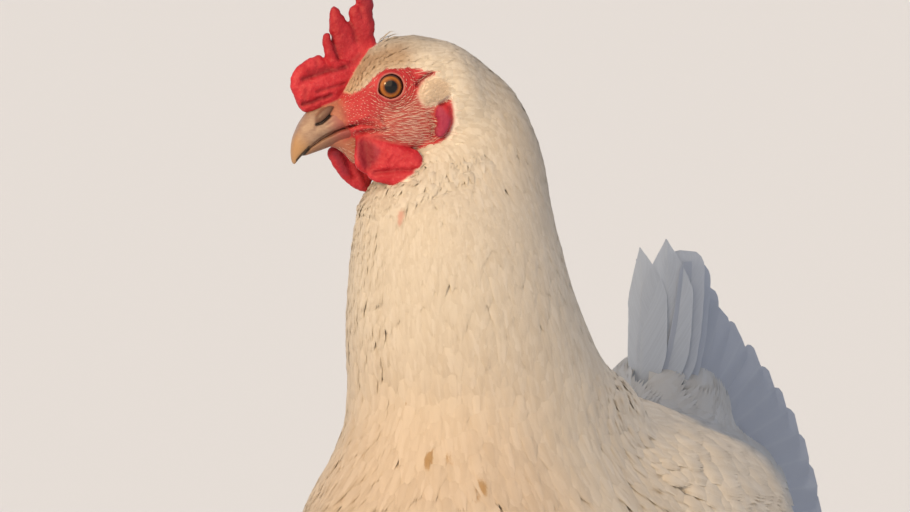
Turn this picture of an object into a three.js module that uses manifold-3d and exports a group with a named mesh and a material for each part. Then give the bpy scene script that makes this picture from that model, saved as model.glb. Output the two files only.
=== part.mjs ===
// A white hen, life size, standing alert with her head turned to her right.
// Millimetres, +Z up. She faces -Y and her left side is +X. The solids reach the tips of the plumage.
// Everything is laid out on a floor at z = 0, with y = 0 near the middle of her trunk; the last step moves
// the origin to the floor under the middle of her bounding box.
import * as THREE from 'three';
import { LoftGeometry } from 'three/addons/geometries/LoftGeometry.js';
import { mergeVertices } from 'three/addons/utils/BufferGeometryUtils.js';
import Module from 'manifold-3d';

const wasm = await Module();
wasm.setup();

// ---- driving dimensions ----
const GAP = 0.3; // between neighbours
const EYE_HEIGHT = 400;
const HEAD_CENTRE = [-21.4, -117.9, EYE_HEIGHT]; // midway between the eyes
const HEAD_YAW = -54; // degrees, to her right
const HEAD_PITCH = 22; // degrees, bill down
const EYE_RADIUS = 6.5;
const EYE_SIDE = 8.8; // eyeball centre, out from the middle of the head
const HOCK = [40, 33, 97];
const FOOT = [42, -8, 7]; // middle of the foot pad
const BODY_SIDES = 22; // facets round the trunk and neck

const colours = {
  plumage: 0xece4d6,
  comb: 0xc2222c,
  bill: 0xb99a78,
  iris: 0xb0691c,
  shank: 0xcdb483,
  claw: 0xb6a184,
};
const finishes = Object.fromEntries(
  Object.entries(colours).map(([name, color]) => [
    name,
    new THREE.MeshStandardMaterial({ color, roughness: name === 'iris' ? 0.1 : 0.75, metalness: 0 }),
  ]),
);

// ---- small tools ----
const radians = THREE.MathUtils.degToRad;
const vector = (v) => new THREE.Vector3(...v);
const mirrored = ([x, y, z]) => [-x, y, z];

// Rows of [position, ...values] joined by a smooth curve; calling it gives the values at a position.
function profile(rows) {
  const curve = new THREE.CubicInterpolant(
    rows.map((row) => row[0]),
    rows.flatMap((row) => row.slice(1)),
    rows[0].length - 1,
  );
  const at = (position) => Array.from(curve.evaluate(position));
  at.stations = (steps) =>
    rows.slice(1).flatMap((row, i) =>
      Array.from({ length: steps }, (_, k) => THREE.MathUtils.lerp(rows[i][0], row[0], (k + 1) / steps)),
    ).concat(rows[0][0]).sort((a, b) => a - b);
  return at;
}

// A closed geometry as a manifold solid.
function solidOf(geometry, matrix = new THREE.Matrix4()) {
  const bare = new THREE.BufferGeometry().copy(geometry).applyMatrix4(matrix);
  bare.deleteAttribute('normal');
  bare.deleteAttribute('uv');
  const merged = mergeVertices(bare, 1e-3);
  return new wasm.Manifold(new wasm.Mesh({
    numProp: 3,
    vertProperties: merged.attributes.position.array,
    triVerts: new Uint32Array(merged.index.array),
  }));
}

// A solid back as a three.js geometry.
function geometryOf(solid) {
  const mesh = solid.getMesh();
  const geometry = new THREE.BufferGeometry();
  geometry.setAttribute('position', new THREE.BufferAttribute(new Float32Array(mesh.vertProperties), 3));
  geometry.setIndex(new THREE.BufferAttribute(new Uint32Array(mesh.triVerts), 1));
  geometry.computeVertexNormals();
  return geometry;
}

// Skins rings into a capped solid; they must run anticlockwise seen from the far end.
function loft(sections, matrix) {
  const rings = sections[Math.floor(sections.length / 2)];
  const centre = (points) => points.reduce((sum, p) => sum.add(p), new THREE.Vector3()).divideScalar(points.length);
  const heading = centre(sections.at(-1)).sub(centre(sections[0]));
  const hub = centre(rings);
  const turn = rings.reduce((sum, p, i) => {
    const next = rings[(i + 1) % rings.length].clone().sub(hub);
    return sum.add(p.clone().sub(hub).cross(next));
  }, new THREE.Vector3());
  const wound = turn.dot(heading) > 0 ? sections : sections.map((points) => [...points].reverse());
  return solidOf(new LoftGeometry(wound, { capStart: true, capEnd: true }), matrix);
}

// A rounded ring about a centre: half width along u, and separate half heights above and below along v.
function ring(centre, u, v, width, above, below, sides = BODY_SIDES, fullness = 2.05) {
  return Array.from({ length: sides }, (_, i) => {
    const turn = (i / sides) * 2 * Math.PI;
    const [c, s] = [Math.cos(turn), Math.sin(turn)];
    const across = Math.sign(c) * Math.abs(c) ** (2 / fullness) * width;
    const up = Math.sign(s) * Math.abs(s) ** (2 / fullness) * (s > 0 ? above : below);
    return centre.clone().addScaledVector(u, across).addScaledVector(v, up);
  });
}

// A limb along a curve. size(s) gives its two half widths at share s; the second lies along the given side.
function limb(curve, size, { sides = 12, steps = 10, side = [1, 0, 0] } = {}) {
  const sections = Array.from({ length: steps + 1 }, (_, i) => {
    const s = i / steps;
    const along = curve.getTangent(s);
    const u = vector(side).addScaledVector(along, -vector(side).dot(along)).normalize();
    const v = new THREE.Vector3().crossVectors(along, u);
    const [thick, wide] = size(s);
    return ring(curve.getPoint(s), u, v, wide, thick, thick, sides, 2);
  });
  return loft(sections);
}

function ball(centre, radii, turn = [0, 0, 0], matrix = new THREE.Matrix4(), detail = [20, 14]) {
  const place = new THREE.Matrix4().compose(
    vector(centre),
    new THREE.Quaternion().setFromEuler(new THREE.Euler(...turn.map(radians))),
    vector(radii),
  );
  return solidOf(new THREE.SphereGeometry(1, ...detail), place.premultiply(matrix));
}

// Parts a solid at a plane, leaving the gap: [the side the normal points to, the other side].
function parted(solid, point, normal) {
  const n = vector(normal).normalize();
  const offset = n.dot(vector(point));
  return [
    solid.trimByPlane(n.toArray(), offset + GAP / 2),
    solid.trimByPlane(n.clone().negate().toArray(), GAP / 2 - offset),
  ];
}

// ---- trunk and neck ----
// Position along the trunk: top, bottom, half width, height of the widest line.
const trunkProfile = profile([
  [-160, 226, 206, 10, 216],
  [-152, 242, 186, 32, 213],
  [-135, 259, 162, 51, 209],
  [-105, 270, 139, 66, 204],
  [-65, 276, 122, 74, 200],
  [-20, 275, 116, 77, 198],
  [25, 268, 118, 76, 199],
  [65, 258, 126, 69, 203],
  [105, 251, 142, 57, 208],
  [140, 247, 163, 46, 213],
  [170, 241, 184, 34, 216],
  [192, 234, 202, 20, 218],
  [204, 227, 211, 7, 219],
]);

function trunkForm(grow = 0) {
  const [u, v] = [new THREE.Vector3(1, 0, 0), new THREE.Vector3(0, 0, 1)];
  return loft(trunkProfile.stations(1).map((y) => {
    const [top, bottom, width, middle] = trunkProfile(y);
    return ring(new THREE.Vector3(0, y, middle), u, v, width + grow, top - middle + grow, middle - bottom + grow);
  }));
}

// Height up the neck: the middle's x and y, half width, half depth, and turn towards the head in degrees.
const neckProfile = profile([
  [222, 0, -60, 74, 88, 0],
  [237, 0, -62, 71, 84, 0],
  [253, 0, -64, 60, 78, 0],
  [268, 0, -66, 53, 70, 0],
  [281, 0, -69, 52, 61, 0],
  [300, 0, -84, 47, 50, 0],
  [320, 0, -93, 43, 44, 0],
  [340, 0.4, -98.6, 39.5, 40.2, -8],
  [355, 0.5, -100.2, 35, 38.3, -22],
  [364, 2.6, -100, 28.5, 34.5, -38],
  [372, 5.5, -98.6, 23.5, 29.5, -48],
  [380, 7.8, -98.7, 19, 24.7, -54],
  [390, 8.5, -98.4, 15.5, 20, -54],
  [400, 8.2, -99.4, 11.5, 15.6, -54],
  [408, 6, -100.4, 6, 9, -54],
]);

function neckForm(grow = 0) {
  return loft(neckProfile.stations(1).map((z) => {
    const [x, y, width, depth, turn] = neckProfile(z);
    const [c, s] = [Math.cos(radians(turn)), Math.sin(radians(turn))];
    const [u, v] = [new THREE.Vector3(c, s, 0), new THREE.Vector3(-s, c, 0)];
    return ring(new THREE.Vector3(x, y, z), u, v, width + grow, depth + grow, depth + grow);
  }));
}

// ---- head, in its own frame: x to the bill, y to her left, z up, origin between the eyes ----
const headFrame = new THREE.Matrix4().makeTranslation(...HEAD_CENTRE)
  .multiply(new THREE.Matrix4().makeRotationZ(radians(HEAD_YAW - 90)))
  .multiply(new THREE.Matrix4().makeRotationY(radians(HEAD_PITCH)));

// A form along the head: rows of [x, top, bottom, half width, height of the widest line].
function headLoft(rows, grow = 0, sides = 16, steps = 1) {
  const shape = profile(rows);
  const [u, v] = [new THREE.Vector3(0, 1, 0), new THREE.Vector3(0, 0, 1)];
  return loft(shape.stations(steps).map((x) => {
    const [top, bottom, width, middle] = shape(x);
    const centre = new THREE.Vector3(x, 0, middle);
    return ring(centre, u, v, width + grow, top - middle + grow, middle - bottom + grow, sides);
  }), headFrame);
}

const skullRows = [
  [-40, -6, -26, 6, -16],
  [-36, 1, -34, 13, -15],
  [-29, 8.5, -41, 20.5, -14],
  [-18, 14.5, -40, 19.2, -11],
  [-8, 17.2, -34, 16, -6],
  [0, 16.8, -27, 13.6, -4],
  [8, 12, -22.5, 12, -6],
  [15, 6, -19, 10.3, -7],
  [22, 2.6, -16.8, 8.4, -7.5],
  [27, 0.4, -15.2, 6.3, -7.7],
];
const skullForm = (grow = 0) => headLoft(skullRows, grow);

// The mouth line rises from the hooked tip and turns down at its corner.
const mouthLine = profile([[12, -10], [16, -8.6], [22, -8], [28, -8.5], [34, -10], [39, -12], [44, -14.6]]);
const upperBill = (grow = 0) => headLoft([
  [19, 2.2, 0, 8.2], [24, 2.8, 0, 7.6], [30, 2.8, 0, 6.3], [35, 1.2, 0, 5], [39, -1.8, 0, 3.8],
  [40.8, -5.4, 0, 2.8], [42.2, -9.4, -0.4, 1.8], [42.9, -12.4, -1, 0.8],
].map(([x, top, hook, width]) => {
  const edge = mouthLine(x)[0] + GAP / 2 + hook;
  return [x, top, edge, width, edge + 0.25 * (top - edge)];
}), grow, 16);
const lowerBill = (grow = 0) => headLoft([
  [15, -17.4, 7.2], [22, -15.4, 6.2], [29, -14.6, 4.8], [35, -14.4, 3.2], [39, -14.6, 1.2],
].map(([x, bottom, width]) => {
  const edge = mouthLine(x)[0] - GAP / 2;
  return [x, edge, bottom, width, edge - 0.3 * (edge - bottom)];
}), grow, 16);

// The single comb: a bulging front lobe folded to her left, then four rising points.
function combForm() {
  const outline = new THREE.Shape()
    .moveTo(31, -2)
    .bezierCurveTo(34, 5, 35, 14.5, 30, 18.8)
    .bezierCurveTo(26.5, 21.4, 21.5, 21.6, 18.6, 20)
    .lineTo(17.4, 17.4)
    .bezierCurveTo(15.8, 20, 15.8, 27.5, 13, 27.6)
    .bezierCurveTo(11.4, 27.4, 12, 25.5, 11.6, 24.4)
    .bezierCurveTo(10, 27, 9.6, 34.6, 6.4, 34.9)
    .bezierCurveTo(3.8, 35, 3.6, 30, 2.6, 28)
    .bezierCurveTo(1.8, 31.5, -0.4, 33, -2, 31.2)
    .bezierCurveTo(-3.2, 34, -5.6, 39.6, -8.6, 39.6)
    .bezierCurveTo(-10.6, 38.6, -8.4, 30, -6.6, 25.5)
    .bezierCurveTo(-5.6, 21, -4.5, 16, -4, 10)
    .lineTo(10, 0);
  outline.closePath();
  const blade = new THREE.ExtrudeGeometry(outline, {
    depth: 0.5, curveSegments: 3, bevelThickness: 0.25, bevelSize: 0.9, bevelOffset: -0.9, bevelSegments: 1,
  });
  const place = blade.attributes.position;
  for (let i = 0; i < place.count; i += 1) {
    const [x, z, layer] = [place.getX(i), place.getY(i), place.getZ(i) - 0.25];
    const lobe = THREE.MathUtils.smoothstep(x, 17, 27);
    const thickness = THREE.MathUtils.lerp(8 - 0.12 * z, 10.5, lobe);
    place.setXYZ(i, x, 2.2 * lobe - layer * thickness, z);
  }
  return solidOf(blade, headFrame);
}

const eyeForm = (side, grow = 0) =>
  ball([0, side * EYE_SIDE, 0], Array(3).fill(EYE_RADIUS + grow), [0, 0, 0], headFrame, [10, 8]);
const earlobeForm = (side) =>
  ball([-13.2, side * 18.2, -19], [3.4, 4, 7], [side * 12, -22, 0], headFrame, [8, 6]);
const wattleForm = (side) => (side > 0
  ? ball([10.1, 12.6, -24], [12.2, 3, 12], [26, -14, -10], headFrame, [12, 8])
  : ball([19.8, -8.2, -22], [9.4, 3, 12.8], [-8, -16, 8], headFrame, [12, 8]));

// ---- wings: shells over the trunk, thick in the middle and thin at their edges ----
// Position along the trunk: upper and lower edge as angles from the top of the trunk, and thickness.
const wingProfile = profile([
  [-106, 66, 86, 2],
  [-94, 54, 106, 5],
  [-72, 45, 122, 7.5],
  [-40, 40, 131, 9],
  [0, 38, 131, 9],
  [40, 40, 124, 8.5],
  [80, 44, 113, 7.5],
  [112, 53, 102, 6],
  [138, 63, 96, 4.5],
  [153, 70, 90, 2.5],
]);

function wingForm(side) {
  const under = 2.5; // the shell starts this deep in the trunk, before it is cut to it
  const arc = 7;
  const sections = wingProfile.stations(1).map((y) => {
    const [top, bottom, width, middle] = trunkProfile(y);
    const [upper, lower, thickness] = wingProfile(y);
    const at = (share, lift) => {
      const angle = radians(THREE.MathUtils.lerp(upper, lower, share));
      const reach = Math.cos(angle) > 0 ? top - middle : middle - bottom;
      return new THREE.Vector3(
        side * (width + lift) * Math.sin(angle) ** (2 / 2.05),
        y,
        middle + Math.sign(Math.cos(angle)) * Math.abs(Math.cos(angle)) ** (2 / 2.05) * (reach + lift),
      );
    };
    const shares = Array.from({ length: arc + 1 }, (_, i) => i / arc);
    const outer = shares.map((s) => at(s, thickness * Math.sin(Math.PI * (0.04 + 0.92 * s)) ** 0.6));
    return outer.concat(shares.reverse().map((s) => at(s, -under)));
  });
  return loft(sections);
}

// ---- tail: a tented fan of quills on each side, over a cone of coverts ----
// Where each quill of the left half starts and ends, from the ridge down.
const quills = profile([
  [0, 0.3, 87, 254, 1.2, 108, 316],
  [1, 4, 89, 253, 8, 112, 327],
  [2, 7, 90, 250, 23, 118, 318],
  [3, 10, 92, 246, 26, 140, 296],
  [4, 11, 94, 240, 31, 160, 275],
  [5, 12, 96, 234, 36, 177, 257],
  [6, 11, 97, 228, 40, 191, 240],
  [7, 11, 97, 221, 44, 202, 221],
  [8, 11, 98, 214, 47, 203, 204],
]);
const spread = { left: 1, right: 0.48 }; // how far each half is opened out
const TAIL_SWING = -5; // the tips are carried this far to her right

function tailFan(word, side) {
  const lastQuill = 8;
  const alongs = [0, 0.3, 0.55, 0.8, 1];
  const on = (quill, along, outer) => {
    const values = quills(quill);
    const [start, end] = [vector(values.slice(0, 3)), vector(values.slice(3))];
    const scallop = 1 - 0.07 * Math.abs(Math.sin(Math.PI * quill)) * along ** 4;
    const point = start.lerp(end, along * scallop);
    const bow = 2 * Math.sin(Math.PI * along) * Math.min(1, quill);
    const lift = outer ? 2.6 - 1.3 * along : 0;
    const facing = radians(90 * Math.min(1, quill / 2.5)); // forward at the ridge, sideways from there down
    const opened = THREE.MathUtils.lerp(1, spread[word], along) * (point.x + bow);
    const out = side * (opened + lift * Math.sin(facing)) + TAIL_SWING * along;
    return new THREE.Vector3(out, point.y - 0.9 * lift * Math.cos(facing), point.z + 0.4 * lift * Math.cos(facing));
  };
  const sections = Array.from({ length: 2 * lastQuill + 1 }, (_, i) => {
    const outer = alongs.map((along) => on(i / 2, along, true));
    return outer.concat([...alongs].reverse().map((along) => on(i / 2, along, false)));
  });
  return loft(sections);
}
const coverts = (grow = 0) => ball([-1, 112, 246], [25 + grow, 50 + grow, 30 + grow], [22, 0, 0], undefined, [12, 7]);

// ---- legs ----
function thighForm(side, grow = 0) {
  const path = new THREE.QuadraticBezierCurve3(
    new THREE.Vector3(side * 40, -22, 165), new THREE.Vector3(side * 41, 8, 128), vector([side * HOCK[0], HOCK[1], HOCK[2] + 4]),
  );
  return limb(path, (s) => [41 - 31 * s ** 0.8 + grow, 33 - 23.5 * s ** 0.85 + grow], { sides: 12, steps: 5 });
}

function shankForm(side, grow = 0) {
  const path = new THREE.LineCurve3(
    new THREE.Vector3(side * HOCK[0], HOCK[1] + 1, HOCK[2] + 6), new THREE.Vector3(side * FOOT[0], FOOT[1] + 4, FOOT[2]),
  );
  const size = (s) => {
    const joint = 2.2 * Math.exp(-((s - 0.08) ** 2) / 0.006) + 1.6 * Math.exp(-((s - 1) ** 2) / 0.02);
    return [6.2 + joint + grow, 5 + joint + grow];
  };
  const pad = ball([side * FOOT[0], FOOT[1], FOOT[2]], [15 + grow, 16 + grow, 8 + grow], [0, 0, 0], undefined, [14, 6]);
  return limb(path, size, { sides: 8, steps: 6 }).add(pad);
}

// Toes fan out from the pad: heading in degrees from straight ahead (towards her outside), reach, girth.
const toes = {
  toe_inner: { heading: -40, start: 15.5, reach: 47, girth: 5.1, joints: 2 },
  toe_middle: { heading: 3, start: 15.5, reach: 61, girth: 5.5, joints: 3 },
  toe_outer: { heading: 46, start: 15.5, reach: 51, girth: 5, joints: 4 },
  toe_back: { heading: 196, start: 13, reach: 29, girth: 4.2, joints: 1 },
};

function toePath(side, { heading, start, reach, girth }) {
  const ahead = new THREE.Vector3(side * Math.sin(radians(heading)), -Math.cos(radians(heading)), 0);
  const on = (distance, height) => new THREE.Vector3(side * FOOT[0], FOOT[1], height).addScaledVector(ahead, distance);
  const rest = 0.86 * girth; // toe centres lie this high, so that the underside is pressed flat
  return new THREE.CatmullRomCurve3([
    on(start, rest + 1.6), on(THREE.MathUtils.lerp(start, reach, 0.5), rest + 0.6), on(reach, rest * 0.86),
  ]);
}

function toeForm(side, toe, grow = 0) {
  const size = (s) => {
    const pads = 0.45 * Math.cos(2 * Math.PI * toe.joints * s);
    const girth = (toe.girth * (1 - 0.28 * s) + pads) * Math.sqrt(1 - 0.55 * Math.max(0, (s - 0.88) / 0.12) ** 2) + grow;
    return [girth, girth];
  };
  return limb(toePath(side, toe), size, { sides: 8, steps: 6, side: [0, 0, 1] });
}

function clawForm(side, toe) {
  const path = toePath(side, toe);
  const [root, ahead] = [path.getPoint(0.94), path.getTangent(1)];
  const tip = root.clone().addScaledVector(ahead, 13).setZ(1.4);
  const knee = root.clone().addScaledVector(ahead, 8).setZ(root.z + 2.6);
  const nail = new THREE.QuadraticBezierCurve3(root, knee, tip);
  return limb(nail, (s) => [2.3 - 1.7 * s, 2.1 - 1.6 * s], { sides: 6, steps: 4 });
}

// ---- assembly ----
const hen = new THREE.Group();
function place(name, finish, solid) {
  const mesh = new THREE.Mesh(geometryOf(solid), finishes[finish]);
  mesh.name = name;
  hen.add(mesh);
}

const fleshClear = wasm.Manifold.union([trunkForm(GAP), neckForm(GAP), skullForm(GAP)]);
const billClear = upperBill(GAP).add(lowerBill(GAP));
const whole = wasm.Manifold.union([trunkForm(), neckForm(), skullForm()]);

// The plumage is parted where a person would name a new part of the hen.
const ahead = [Math.sin(radians(HEAD_YAW)), -Math.cos(radians(HEAD_YAW))];
const [head, belowHead] = parted(whole, [-8, -108, 366], [0.41 * ahead[0], 0.41 * ahead[1], 1]);
const [neckUpper, belowUpper] = parted(belowHead, [0, -94, 314], [0, -0.1, 1]);
const [neckLower, torso] = parted(belowUpper, [0, -80, 267.5], [0, -0.27, 1]);
const [breast, behindBreast] = parted(torso, [0, -66, 200], [0, -1, 0.2]);
const [trunk, rump] = parted(behindBreast, [0, 98, 210], [0, -1, 0.25]);

const sides = { left: 1, right: -1 };
const sockets = Object.values(sides).map((side) => eyeForm(side, GAP));
place('head', 'plumage', head.subtract(wasm.Manifold.union([billClear, ...sockets])));
place('neck_upper', 'plumage', neckUpper);
place('neck_lower', 'plumage', neckLower);
place('breast', 'plumage', breast);
place('trunk', 'plumage', trunk);
place('rump', 'plumage', rump);
place('comb', 'comb', combForm().subtract(fleshClear).subtract(billClear));
place('bill_upper', 'bill', upperBill());
place('bill_lower', 'bill', lowerBill());

const covertsClear = coverts(GAP);
place('tail_coverts', 'plumage', coverts().subtract(fleshClear));

for (const [word, side] of Object.entries(sides)) {
  place(`eye_${word}`, 'iris', eyeForm(side));
  place(`wattle_${word}`, 'comb', wattleForm(side).subtract(fleshClear).subtract(billClear));
  place(`earlobe_${word}`, 'comb', earlobeForm(side).subtract(fleshClear));

  const wing = wingForm(side).subtract(fleshClear).subtract(covertsClear).subtract(thighForm(side, GAP));
  const [flight, shoulder] = parted(wing, [0, 62, 200], [0, 1, -0.35]);
  place(`wing_${word}`, 'plumage', shoulder);
  place(`wing_tip_${word}`, 'plumage', flight);
  place(`tail_${word}`, 'plumage', tailFan(word, side).subtract(fleshClear).subtract(covertsClear));

  const thigh = thighForm(side);
  place(`thigh_${word}`, 'plumage', thigh.subtract(fleshClear));
  place(`shank_${word}`, 'shank', shankForm(side).subtract(thighForm(side, GAP)).trimByPlane([0, 0, 1], 0));
  const shankClear = shankForm(side, GAP);
  for (const [name, toe] of Object.entries(toes)) {
    const shape = toeForm(side, toe);
    place(`${name}_${word}`, 'shank', shape.subtract(shankClear).trimByPlane([0, 0, 1], 0));
    place(`${name.replace('toe', 'claw')}_${word}`, 'claw', clawForm(side, toe).subtract(toeForm(side, toe, GAP)));
  }
}

// The origin goes to the floor, under the middle of the box round the hen.
const box = new THREE.Box3().setFromObject(hen);
const middle = box.getCenter(new THREE.Vector3());
hen.position.set(-middle.x, -middle.y, -box.min.z);

export default hen;
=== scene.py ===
import math
import time

import bpy
import numpy as np
import openvdb
from mathutils import Matrix, Vector, kdtree


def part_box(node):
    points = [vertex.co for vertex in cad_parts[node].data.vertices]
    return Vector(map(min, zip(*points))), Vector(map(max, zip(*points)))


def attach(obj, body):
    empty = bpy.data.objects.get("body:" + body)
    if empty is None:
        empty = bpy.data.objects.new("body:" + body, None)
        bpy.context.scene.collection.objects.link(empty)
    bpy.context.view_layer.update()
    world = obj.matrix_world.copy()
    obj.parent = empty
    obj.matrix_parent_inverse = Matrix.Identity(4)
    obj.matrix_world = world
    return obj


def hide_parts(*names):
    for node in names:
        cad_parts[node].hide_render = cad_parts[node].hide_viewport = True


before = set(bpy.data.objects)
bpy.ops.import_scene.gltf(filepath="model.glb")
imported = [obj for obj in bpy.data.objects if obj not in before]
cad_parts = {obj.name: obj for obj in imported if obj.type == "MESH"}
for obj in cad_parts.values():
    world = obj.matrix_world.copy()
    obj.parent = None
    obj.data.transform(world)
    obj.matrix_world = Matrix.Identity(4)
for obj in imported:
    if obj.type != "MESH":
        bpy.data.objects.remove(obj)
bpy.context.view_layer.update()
started = time.time()
mm = 0.001


def report(text):
    print(f"{time.time() - started:6.1f} s  {text}")


def direction(azimuth, elevation):
    # towards a place round the bird, in degrees from straight before it and from level
    turn, lift = math.radians(azimuth), math.radians(elevation)
    return Vector((math.sin(turn) * math.cos(lift), -math.cos(turn) * math.cos(lift), math.sin(lift)))


camera = {"azimuth": 24.0, "elevation": 4.5, "distance": 1.8, "lens": 188.7, "target": (0, -0.122, 0.336)}


def addCamera():
    back = direction(camera["azimuth"], camera["elevation"])
    data = bpy.data.cameras.new("camera")
    data.lens, data.sensor_width = camera["lens"], 36
    data.clip_start, data.clip_end = 0.1, 50
    made = bpy.data.objects.new("camera", data)
    bpy.context.scene.collection.objects.link(made)
    made.rotation_mode = "QUATERNION"
    made.location = Vector(camera["target"]) + back * camera["distance"]
    made.rotation_quaternion = (-back).to_track_quat("-Z", "Y")
    bpy.context.scene.camera = made


class Wire:
    # a socket that can be added, subtracted and multiplied
    def __init__(self, paint, socket):
        self.paint, self.socket = paint, socket

    def __add__(self, other):
        return self.paint.math("ADD", self, other)

    def __sub__(self, other):
        return self.paint.math("SUBTRACT", self, other)

    def __rsub__(self, other):
        return self.paint.math("SUBTRACT", other, self)

    def __mul__(self, other):
        return self.paint.math("MULTIPLY", self, other)

    __radd__, __rmul__ = __add__, __mul__


class Paint:
    # a material under construction; constants are other sockets of its shader, with _ for a space
    def __init__(self, name, colour, roughness, **constants):
        self.material = bpy.data.materials.new(name)
        self.material.use_nodes = True
        self.tree = self.material.node_tree
        self.shader = next(n for n in self.tree.nodes if n.type == "BSDF_PRINCIPLED")
        self.output = next(n for n in self.tree.nodes if n.type == "OUTPUT_MATERIAL")
        self.shader.inputs["Base Color"].default_value = (*colour, 1)
        self.shader.inputs["Roughness"].default_value = roughness
        for key, value in constants.items():
            self.shader.inputs[key.replace("_", " ")].default_value = value
        self.material.diffuse_color = (*colour, 1)

    def node(self, kind, settings, inputs, output=0):
        made = self.tree.nodes.new("ShaderNode" + kind)
        for key, value in settings.items():
            setattr(made, key, value)
        for key, value in inputs.items():
            if isinstance(value, Wire):
                self.tree.links.new(value.socket, made.inputs[key])
            else:
                made.inputs[key].default_value = value
        return Wire(self, made.outputs[output])

    def math(self, operation, a, b=0.0):
        return self.node("Math", {"operation": operation}, {0: a, 1: b})

    def ramp(self, value, low, high):
        return self.node("MapRange", {"interpolation_type": "SMOOTHSTEP"}, {0: value, 1: low, 2: high})

    def mix(self, factor, a, b, blend="MIX"):
        four = [(*c, 1) if isinstance(c, tuple) else c for c in (a, b)]
        settings = {"data_type": "RGBA", "blend_type": blend}
        return self.node("Mix", settings, {0: factor, 6: four[0], 7: four[1]}, 2)

    def noise(self, vector, scale, detail, roughness):
        inputs = {"Vector": vector, "Scale": scale, "Detail": detail, "Roughness": roughness}
        return self.node("TexNoise", {}, inputs)

    def place(self, stretch=(1, 1, 1)):
        coordinates = self.node("TexCoord", {}, {}, "Object")
        return self.node("Mapping", {"vector_type": "POINT"}, {"Vector": coordinates, "Scale": stretch})

    def attribute(self, name):
        return self.node("Attribute", {"attribute_name": name}, {}, "Fac")

    def feed(self, name, value):
        self.tree.links.new(value.socket, self.shader.inputs[name])

    def bump(self, height, strength, distance):
        inputs = {"Strength": strength, "Distance": distance, "Height": height}
        self.feed("Normal", self.node("Bump", {}, inputs))

    def thin(self, share, colour):
        # lets some of the light through
        glow = self.node("BsdfTranslucent", {}, {"Color": (*colour, 1)})
        blend = self.node("MixShader", {}, {0: share, 1: Wire(self, self.shader.outputs[0]), 2: glow})
        self.tree.links.new(blend.socket, self.output.inputs["Surface"])


def unit(v):
    return v / np.maximum(np.linalg.norm(v, axis=-1, keepdims=True), 1e-12)


def ease(low, high, x):
    t = np.clip((x - low) / (high - low), 0, 1)
    return t * t * (3 - 2 * t)


def lerp(a, b, t):
    return a + (b - a) * t


def softMin(a, b, k):
    h = np.clip(0.5 + 0.5 * (b - a) / k, 0, 1)
    return lerp(b, a, h) - k * h * (1 - h)


def softMax(a, b, k):
    return -softMin(-a, -b, k)


class Field:
    # signed distance sampled on a grid, with its slope; points are in the grid's own frame
    def __init__(self, values, low, step):
        self.low, self.step = np.asarray(low, float), step
        slopes = np.gradient(values, step)
        self.table = np.stack([values, *slopes], -1).astype(np.float32)

    def at(self, points):
        place = (points - self.low) / self.step
        top = np.array(self.table.shape[:3]) - 2
        cell = np.clip(np.floor(place).astype(int), 0, top)
        part = np.clip(place - cell, 0, 1)
        total = 0
        for i in range(8):
            corner = np.array([i & 1, i >> 1 & 1, i >> 2 & 1])
            weight = np.prod(np.where(corner, part, 1 - part), -1)
            total = total + weight[..., None] * self.table[tuple(np.moveaxis(cell + corner, -1, 0))]
        return total[..., 0], unit(total[..., 1:])


def blurred(values, times, reach=1):
    # each pass mixes a cell with those reach cells away on either side
    for _ in range(times):
        for axis in range(3):
            n = values.shape[axis]
            before = values.take(np.maximum(np.arange(n) - reach, 0), axis)
            after = values.take(np.minimum(np.arange(n) + reach, n - 1), axis)
            values = 0.5 * values + 0.25 * (before + after)
    return values


def pointsOf(mesh):
    place = np.empty(len(mesh.vertices) * 3)
    mesh.vertices.foreach_get("co", place)
    return place.reshape(-1, 3)


def trianglesOf(mesh, what="vertices"):
    mesh.calc_loop_triangles()
    corners = np.empty(len(mesh.loop_triangles) * 3, np.int32)
    mesh.loop_triangles.foreach_get(what, corners)
    return corners.reshape(-1, 3)


def cadShape(names, matrix=np.eye(4)):
    # the points and triangles of some CAD nodes, joined
    points, faces, count = [], [], 0
    for name in names:
        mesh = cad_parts[name].data
        points.append(pointsOf(mesh) @ matrix[:3, :3].T + matrix[:3, 3])
        faces.append(trianglesOf(mesh) + count)
        count += len(mesh.vertices)
    return np.concatenate(points), np.concatenate(faces)


def denseField(names, step, matrix=np.eye(4), close=0.0004, band=8, low=None, high=None):
    # distance to the joined nodes, the thin gaps between them closed; low and high are grid corners in cells
    points, faces = cadShape(names, matrix)
    room = openvdb.createLinearTransform(voxelSize=step)
    make = openvdb.FloatGrid.createLevelSetFromPolygons
    rough = make(points.astype(np.float32), triangles=faces.astype(np.uint32), transform=room, halfWidth=6)
    shell, _, quads = rough.convertToPolygons(isovalue=close, adaptivity=0)
    grid = make(shell, quads=quads, transform=room, halfWidth=band)
    if low is None:
        low, high = grid.evalActiveVoxelBoundingBox()
    values = np.zeros(tuple(np.array(high) - np.array(low) + 1), np.float32)
    grid.copyToArray(values, ijk=tuple(int(i) for i in low))
    return values + close, np.array(low) * step


def gridLines(values, low, step):
    # x, y and z of a dense field's cells
    axes = [low[i] + step * np.arange(values.shape[i]) for i in range(3)]
    return np.meshgrid(*axes, indexing="ij", sparse=True)


def meshOf(values, low, step):
    # triangles of a dense field's surface
    grid = openvdb.FloatGrid(float(values.max()))
    grid.copyFromArray(values.astype(np.float32))
    grid.gridClass = openvdb.GridClass.LEVEL_SET
    grid.transform = openvdb.createLinearTransform(voxelSize=step)
    points, triangles, quads = grid.convertToPolygons(isovalue=0.0, adaptivity=0)
    return points + low, triangles, quads


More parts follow.
